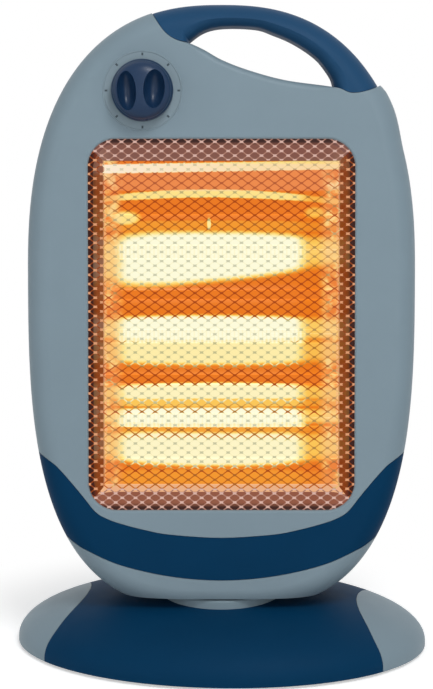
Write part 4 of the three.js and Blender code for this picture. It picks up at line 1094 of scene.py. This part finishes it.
def slot_cutters():
    """A column of pegs of rounded-slot section, for cutting the vents."""
    tree, given = geometry_tree("vent_slots", [
        ("Rows", "Int"), ("Pitch", "Float"), ("Width", "Float"), ("Slot", "Float"), ("Depth", "Float")])
    slot, pitch = given.out("Slot"), given.out("Pitch")
    outline = given.node("GeometryNodeCurvePrimitiveQuadrilateral", {
        "Width": given.out("Width"), "Height": slot})
    outline = given.node("GeometryNodeFilletCurve", {
        "Curve": outline, "Radius": slot * 0.49, "Count": 6}, mode="POLY")
    face = given.node("GeometryNodeFillCurve", {"Curve": outline}, mode="NGONS")
    depth = given.node("ShaderNodeCombineXYZ", {"Z": given.out("Depth")})
    walls = given.node("GeometryNodeExtrudeMesh", {"Mesh": face, "Offset": depth, "Individual": False})
    floor_side = given.node("GeometryNodeFlipFaces", {"Mesh": face})
    closed = given.node("GeometryNodeMergeByDistance", {
        "Geometry": gathered(given, (walls, floor_side)), "Distance": 0.001})
    start = given.node("ShaderNodeCombineXYZ", {"Y": (1 - given.out("Rows")) * pitch / 2})
    rows = given.node("GeometryNodeMeshLine", {
        "Count": given.out("Rows"), "Start Location": start,
        "Offset": given.node("ShaderNodeCombineXYZ", {"Y": pitch})})
    copies = given.node("GeometryNodeInstanceOnPoints", {"Points": rows, "Instance": closed})
    solid = given.node("GeometryNodeRealizeInstances", {"Geometry": copies})
    given.node("NodeGroupOutput", {"Geometry": solid})
    return tree


vents = slot_cutters()
rear_hollow = cut(rear_solid(WALL, REAR_START - 1), below_underside(WALL), above_saddle(WALL))
rear_shell = cut(rear_solid(0, REAR_START), below_underside(0), above_saddle(0), rear_hollow)
for x, z in SCREW_PLACES:
    pillar = head_peg(PILLAR_RADIUS, x, z, REAR_START, REAR_START + REAR_DEPTH)
    pillar = keep(pillar, rear_solid(1, REAR_START))
    rear_shell = cut(join(rear_shell, pillar), head_peg(SCREW_HEAD_RADIUS + CLEARANCE, x, z, SCREW_SEAT, FAR))
for centre in VENT_GROUPS:
    cutters = grown("vent_cutters", vents, {
        "Rows": VENT_ROWS, "Pitch": VENT_PITCH, "Width": VENT_WIDTH, "Slot": VENT_SLOT, "Depth": VENT_DEPTH},
        rearward(0, REAR_START + REAR_DEPTH / 2, centre))
    face_out(cutters.data)
    rear_shell = cut(rear_shell, cutters)
rear_shell = cut(rear_shell, swivel_hole())
finished(rear_shell, "head", grey_plastic, "grey_plastic", "rear_housing")
rear_shell.name = "rear_casing"

# ---------------------------------------------------------------- carrying handle
# Two navy plastic halves that follow the head's outline over the hand hole, fully rounded on both sides, with
# a fine joint between them. Their feet stand on the grey shell with a hairline gap.

HANDLE_INSIDE = [(-22.7, 391.5), (-13.7, 398), (-4, 401.2), (10, 402), (26, 400.8), (36, 397.3), (47, 392.8),
                 (58, 386.5), (67, 379.6), (73, 372.4), (77.3, 365.3), (79, 358)]
HANDLE_STEPS = 72
HANDLE_FEET = 346
HANDLE_DEPTH = 50
HANDLE_SPLIT = 25
HANDLE_INSET = 0.6
GRIP_ROUND = 9
GRIP_RINGS = 10
GRIP_DEPTH = 1.4  # the round's depth against its width


def handle_outer():
    """The head's outline from front to back, with both edges rounded."""
    rings = []
    for step in range(EDGE_RINGS + 1):
        angle = math.pi / 2 * step / EDGE_RINGS
        rings.append((EDGE_DEPTH * (1 - math.cos(angle)), HANDLE_INSET + EDGE_ROUND * (1 - math.sin(angle))))
    front = [head_outline(depth, inset, proud=0) for depth, inset in rings]
    rear = [head_outline(HANDLE_DEPTH - depth, inset, proud=0) for depth, inset in rings[::-1]]
    return loft("handle_outer", front + rear, HEAD)


def handle_hole():
    """What the hand reaches through, with both of its edges rounded."""

    def ring(depth, grow):
        line = curve_points(HANDLE_INSIDE, HANDLE_STEPS, grow)
        return [(x, depth, z) for x, z in line + [(line[-1][0], HANDLE_FEET), (line[0][0], HANDLE_FEET)]]

    rounds = quarter(GRIP_ROUND, GRIP_RINGS)
    front = [ring(-1, GRIP_ROUND)] + [ring(GRIP_DEPTH * depth, grow) for depth, grow in rounds]
    rear = [ring(HANDLE_DEPTH - GRIP_DEPTH * depth, grow) for depth, grow in rounds[::-1]]
    return loft("handle_hole", front + rear + [ring(HANDLE_DEPTH + 1, GRIP_ROUND)], HEAD)


handle_plastic = moulded("handle_plastic", "1C4568", 0.5, variation=0.1, grain=0.1, shine=0.12)
for half, front, back in (
    ("front", -FAR, HANDLE_SPLIT - CLEARANCE / 2),
    ("rear", HANDLE_SPLIT + CLEARANCE / 2, FAR),
):
    whole_side = across([(front, -FAR), (back, -FAR), (back, 2 * FAR), (front, 2 * FAR)], -FAR, FAR)
    handle = cut(keep(handle_outer(), above_saddle(-CLEARANCE), whole_side), handle_hole())
    finished(handle, "head", handle_plastic, "handle_plastic", f"handle_{half}")
    handle.name = f"grip_{half}"

# ---------------------------------------------------------------- screws and feet
# Four cross-recessed steel screws sit deep in the rear shell's wells, and four more hold the bottom plate.
# Four round rubber feet with a chamfered tread are pressed into the plate.

SHANK_RADIUS = 1.6
CROSS_HALF = 0.35
PLATE_SCREW_PLACES = [(x * 72, y * 66) for x in (-1, 1) for y in (-1, 1)]
TREAD = [(FOOT_RADIUS - 3.4, 0.5), (FOOT_RADIUS - 3, 0), (FOOT_RADIUS - 1.2, 0), (FOOT_RADIUS - 0.4, 0.6),
         (FOOT_RADIUS, FOOT_HEIGHT)]


def cross_screw(radius, head_height, length):
    """A pan-head screw with a cross recess, head up, its seat at zero."""
    dome = [(SHANK_RADIUS, -length), (SHANK_RADIUS, 0), (radius, 0), (radius, head_height * 0.45),
            (radius * 0.86, head_height * 0.8), (radius * 0.5, head_height)]
    screw = turned("screw", dome, Matrix.Identity(4), 24)
    blade_rings = [[(x * half, y * CROSS_HALF, z) for x, y in ((-1, -1), (1, -1), (1, 1), (-1, 1))]
                   for z, half in ((head_height * 0.35, radius * 0.25), (head_height * 2, radius * 0.75))]
    for angle in (0, math.pi / 2):
        screw = cut(screw, loft("blade", blade_rings, Matrix.Rotation(angle, 4, "Z")))
    return screw


def copies_at(name, template, places, place):
    """The same small part at each place, joined into one mesh."""
    tree, given = geometry_tree(name, [("Part", "Object"), ("Material", "Material")])
    spots = [given.node("GeometryNodeMeshLine", {"Count": 1, "Start Location": spot}) for spot in places]
    part = given.node("GeometryNodeObjectInfo", {"Object": given.out("Part")}, output="Geometry")
    painted(given, given.node("GeometryNodeInstanceOnPoints", {
        "Points": gathered(given, spots), "Instance": part}))
    made = grown(name, tree, {"Part": template, "Material": plain_steel}, place)
    bpy.data.objects.remove(template)
    return made


shell_screws = copies_at("shell_screws", cross_screw(SCREW_HEAD_RADIUS, 2.4, 24),
                         [(x, -z, SCREW_SEAT + CLEARANCE) for x, z in SCREW_PLACES], rearward(0, 0, 0))
finished(shell_screws, "head", plain_steel, "plain_steel", *[f"housing_screw_{i}" for i in (1, 2, 3, 4)])

under_turn = BASE @ Matrix.Rotation(math.pi, 4, "X")
plate_screws = copies_at("plate_screws", cross_screw(SCREW_HEAD_RADIUS, 1.2, 9),
                         [(x, y, -BASE_UNDERSIDE) for x, y in PLATE_SCREW_PLACES], under_turn)
finished(plate_screws, "base", plain_steel, "plain_steel", *[f"base_screw_{i}" for i in (1, 2, 3, 4)])

feet = copies_at("ribbed_feet", turned("tread", TREAD, Matrix.Identity(4), 48),
                 [(x, y, 0) for x, y in FOOT_PLACES], BASE)
finished(feet, "base", black_rubber, "black_rubber", *[f"rubber_foot_{i}" for i in (1, 2, 3, 4)])

# ---------------------------------------------------------------- control knob and its scale
# A glossy navy plastic knob with two scooped finger recesses and a waisted grip between them, on a pale ring
# with eight printed marks. It is pushed onto the spindle of the switch behind it, and turns with it.

KNOB_X = -55
KNOB_Z = 356.8
KNOB_RADIUS = 21.5
KNOB_LIFT = 1
KNOB_HEIGHT = 18
KNOB_CROWN = 8
CROWN_POWER = 0.62
CROWN_STEPS = 15
SCOOPS = [((-10.6, -0.8), (6.8, 11, 14), 4), ((8.6, 0.6), (7.4, 11, 13.6), -4)]  # place, half sizes and turn
SCOOP_RINGS = 24
SCOOP_SIDES = 40
SCALE_RADIUS = 27.8
SCALE_PROFILE = [(KNOB_RADIUS - 2, 0.02), (SCALE_RADIUS, 0.02), (SCALE_RADIUS - 0.2, 0.6),
                 (SCALE_RADIUS - 0.7, 0.6), (SCALE_RADIUS - 1.1, 0.3), (KNOB_RADIUS - 2, 0.3)]
MARK_RADIUS = 25.3
MARK_LENGTH = 1.9
MARK_WIDTH = 1.3
MARK_THICKNESS = 0.12
MARK_HEIGHT = 0.33
MARKS = 8

knob_turn = HEAD @ Matrix.Translation((KNOB_X, 0, KNOB_Z)) @ Matrix.Rotation(math.pi / 2, 4, "X")
knob_profile = [(KNOB_RADIUS - 0.6, KNOB_LIFT), (KNOB_RADIUS, KNOB_LIFT + 0.6)]
shoulder = KNOB_LIFT + KNOB_HEIGHT - KNOB_CROWN
knob_profile += [(KNOB_RADIUS, shoulder - 1.8), (KNOB_RADIUS - 0.5, shoulder - 0.9)]
for step in range(CROWN_STEPS + 1):
    angle = math.pi / 2 * step / CROWN_STEPS
    knob_profile.append((max(0.2, (KNOB_RADIUS - 1.2) * math.cos(angle) ** CROWN_POWER),
                         shoulder + KNOB_CROWN * math.sin(angle)))
knob = turned("knob", knob_profile, knob_turn, 96)
for (x, up), (half_width, half_depth, half_height), tilt in SCOOPS:
    scoop_rings = []
    for angle in [math.pi * step / SCOOP_RINGS for step in range(1, SCOOP_RINGS)]:
        round_angles = [2 * math.pi * i / SCOOP_SIDES for i in range(SCOOP_SIDES)]
        scoop_rings.append([(half_width * math.sin(angle) * math.cos(a), half_height * math.cos(angle),
                             half_depth * math.sin(angle) * math.sin(a)) for a in round_angles])
    scoop_turn = (knob_turn @ Matrix.Translation((x, up, KNOB_LIFT + KNOB_HEIGHT))
                  @ Matrix.Rotation(math.radians(tilt), 4, "Z"))
    knob = cut(knob, loft("scoop", scoop_rings, scoop_turn))
knob_gloss = moulded("knob_plastic", "15304F", 0.3, grain=0.02, variation=0.1, shine=0.26)
finished(knob, "knob", knob_gloss, "knob_plastic", "control_knob", crease=40)
knob.name = "gloss_knob"


def printed_scale():
    """Flat marks evenly round a circle, each pointing to its middle."""
    tree, given = geometry_tree("knob_scale", [
        ("Mark Radius", "Float"), ("Marks", "Int"), ("Mark Length", "Float"), ("Mark Width", "Float"),
        ("Thickness", "Float"), ("Material", "Material")])
    spots = given.node("GeometryNodeMeshCircle", {
        "Vertices": given.out("Marks"), "Radius": given.out("Mark Radius")})
    index = given.node("GeometryNodeInputIndex")
    turn = given.node("ShaderNodeCombineXYZ", {"Z": index / given.out("Marks") * 2 * math.pi})
    size = given.node("ShaderNodeCombineXYZ", {
        "X": given.out("Mark Length"), "Y": given.out("Mark Width"), "Z": given.out("Thickness")})
    mark = given.node("GeometryNodeMeshCube", {"Size": size})
    painted(given, given.node("GeometryNodeInstanceOnPoints", {
        "Points": spots, "Instance": mark, "Rotation": turn}))
    return tree


scale_ring = turned("scale_ring", SCALE_PROFILE, knob_turn, 96, closed=True)
pale_print = moulded("scale_ring", "82949E", 0.45)
finished(scale_ring, "head", pale_print, "grey_plastic")
dark_print = moulded("mark_print", "3E4C54", 0.5)
marks = grown("scale_marks", printed_scale(), {
    "Mark Radius": MARK_RADIUS, "Marks": MARKS, "Mark Length": MARK_LENGTH, "Mark Width": MARK_WIDTH,
    "Thickness": MARK_THICKNESS, "Material": dark_print}, knob_turn @ Matrix.Translation((0, 0, MARK_HEIGHT)))
finished(marks, "head", dark_print, "grey_plastic")
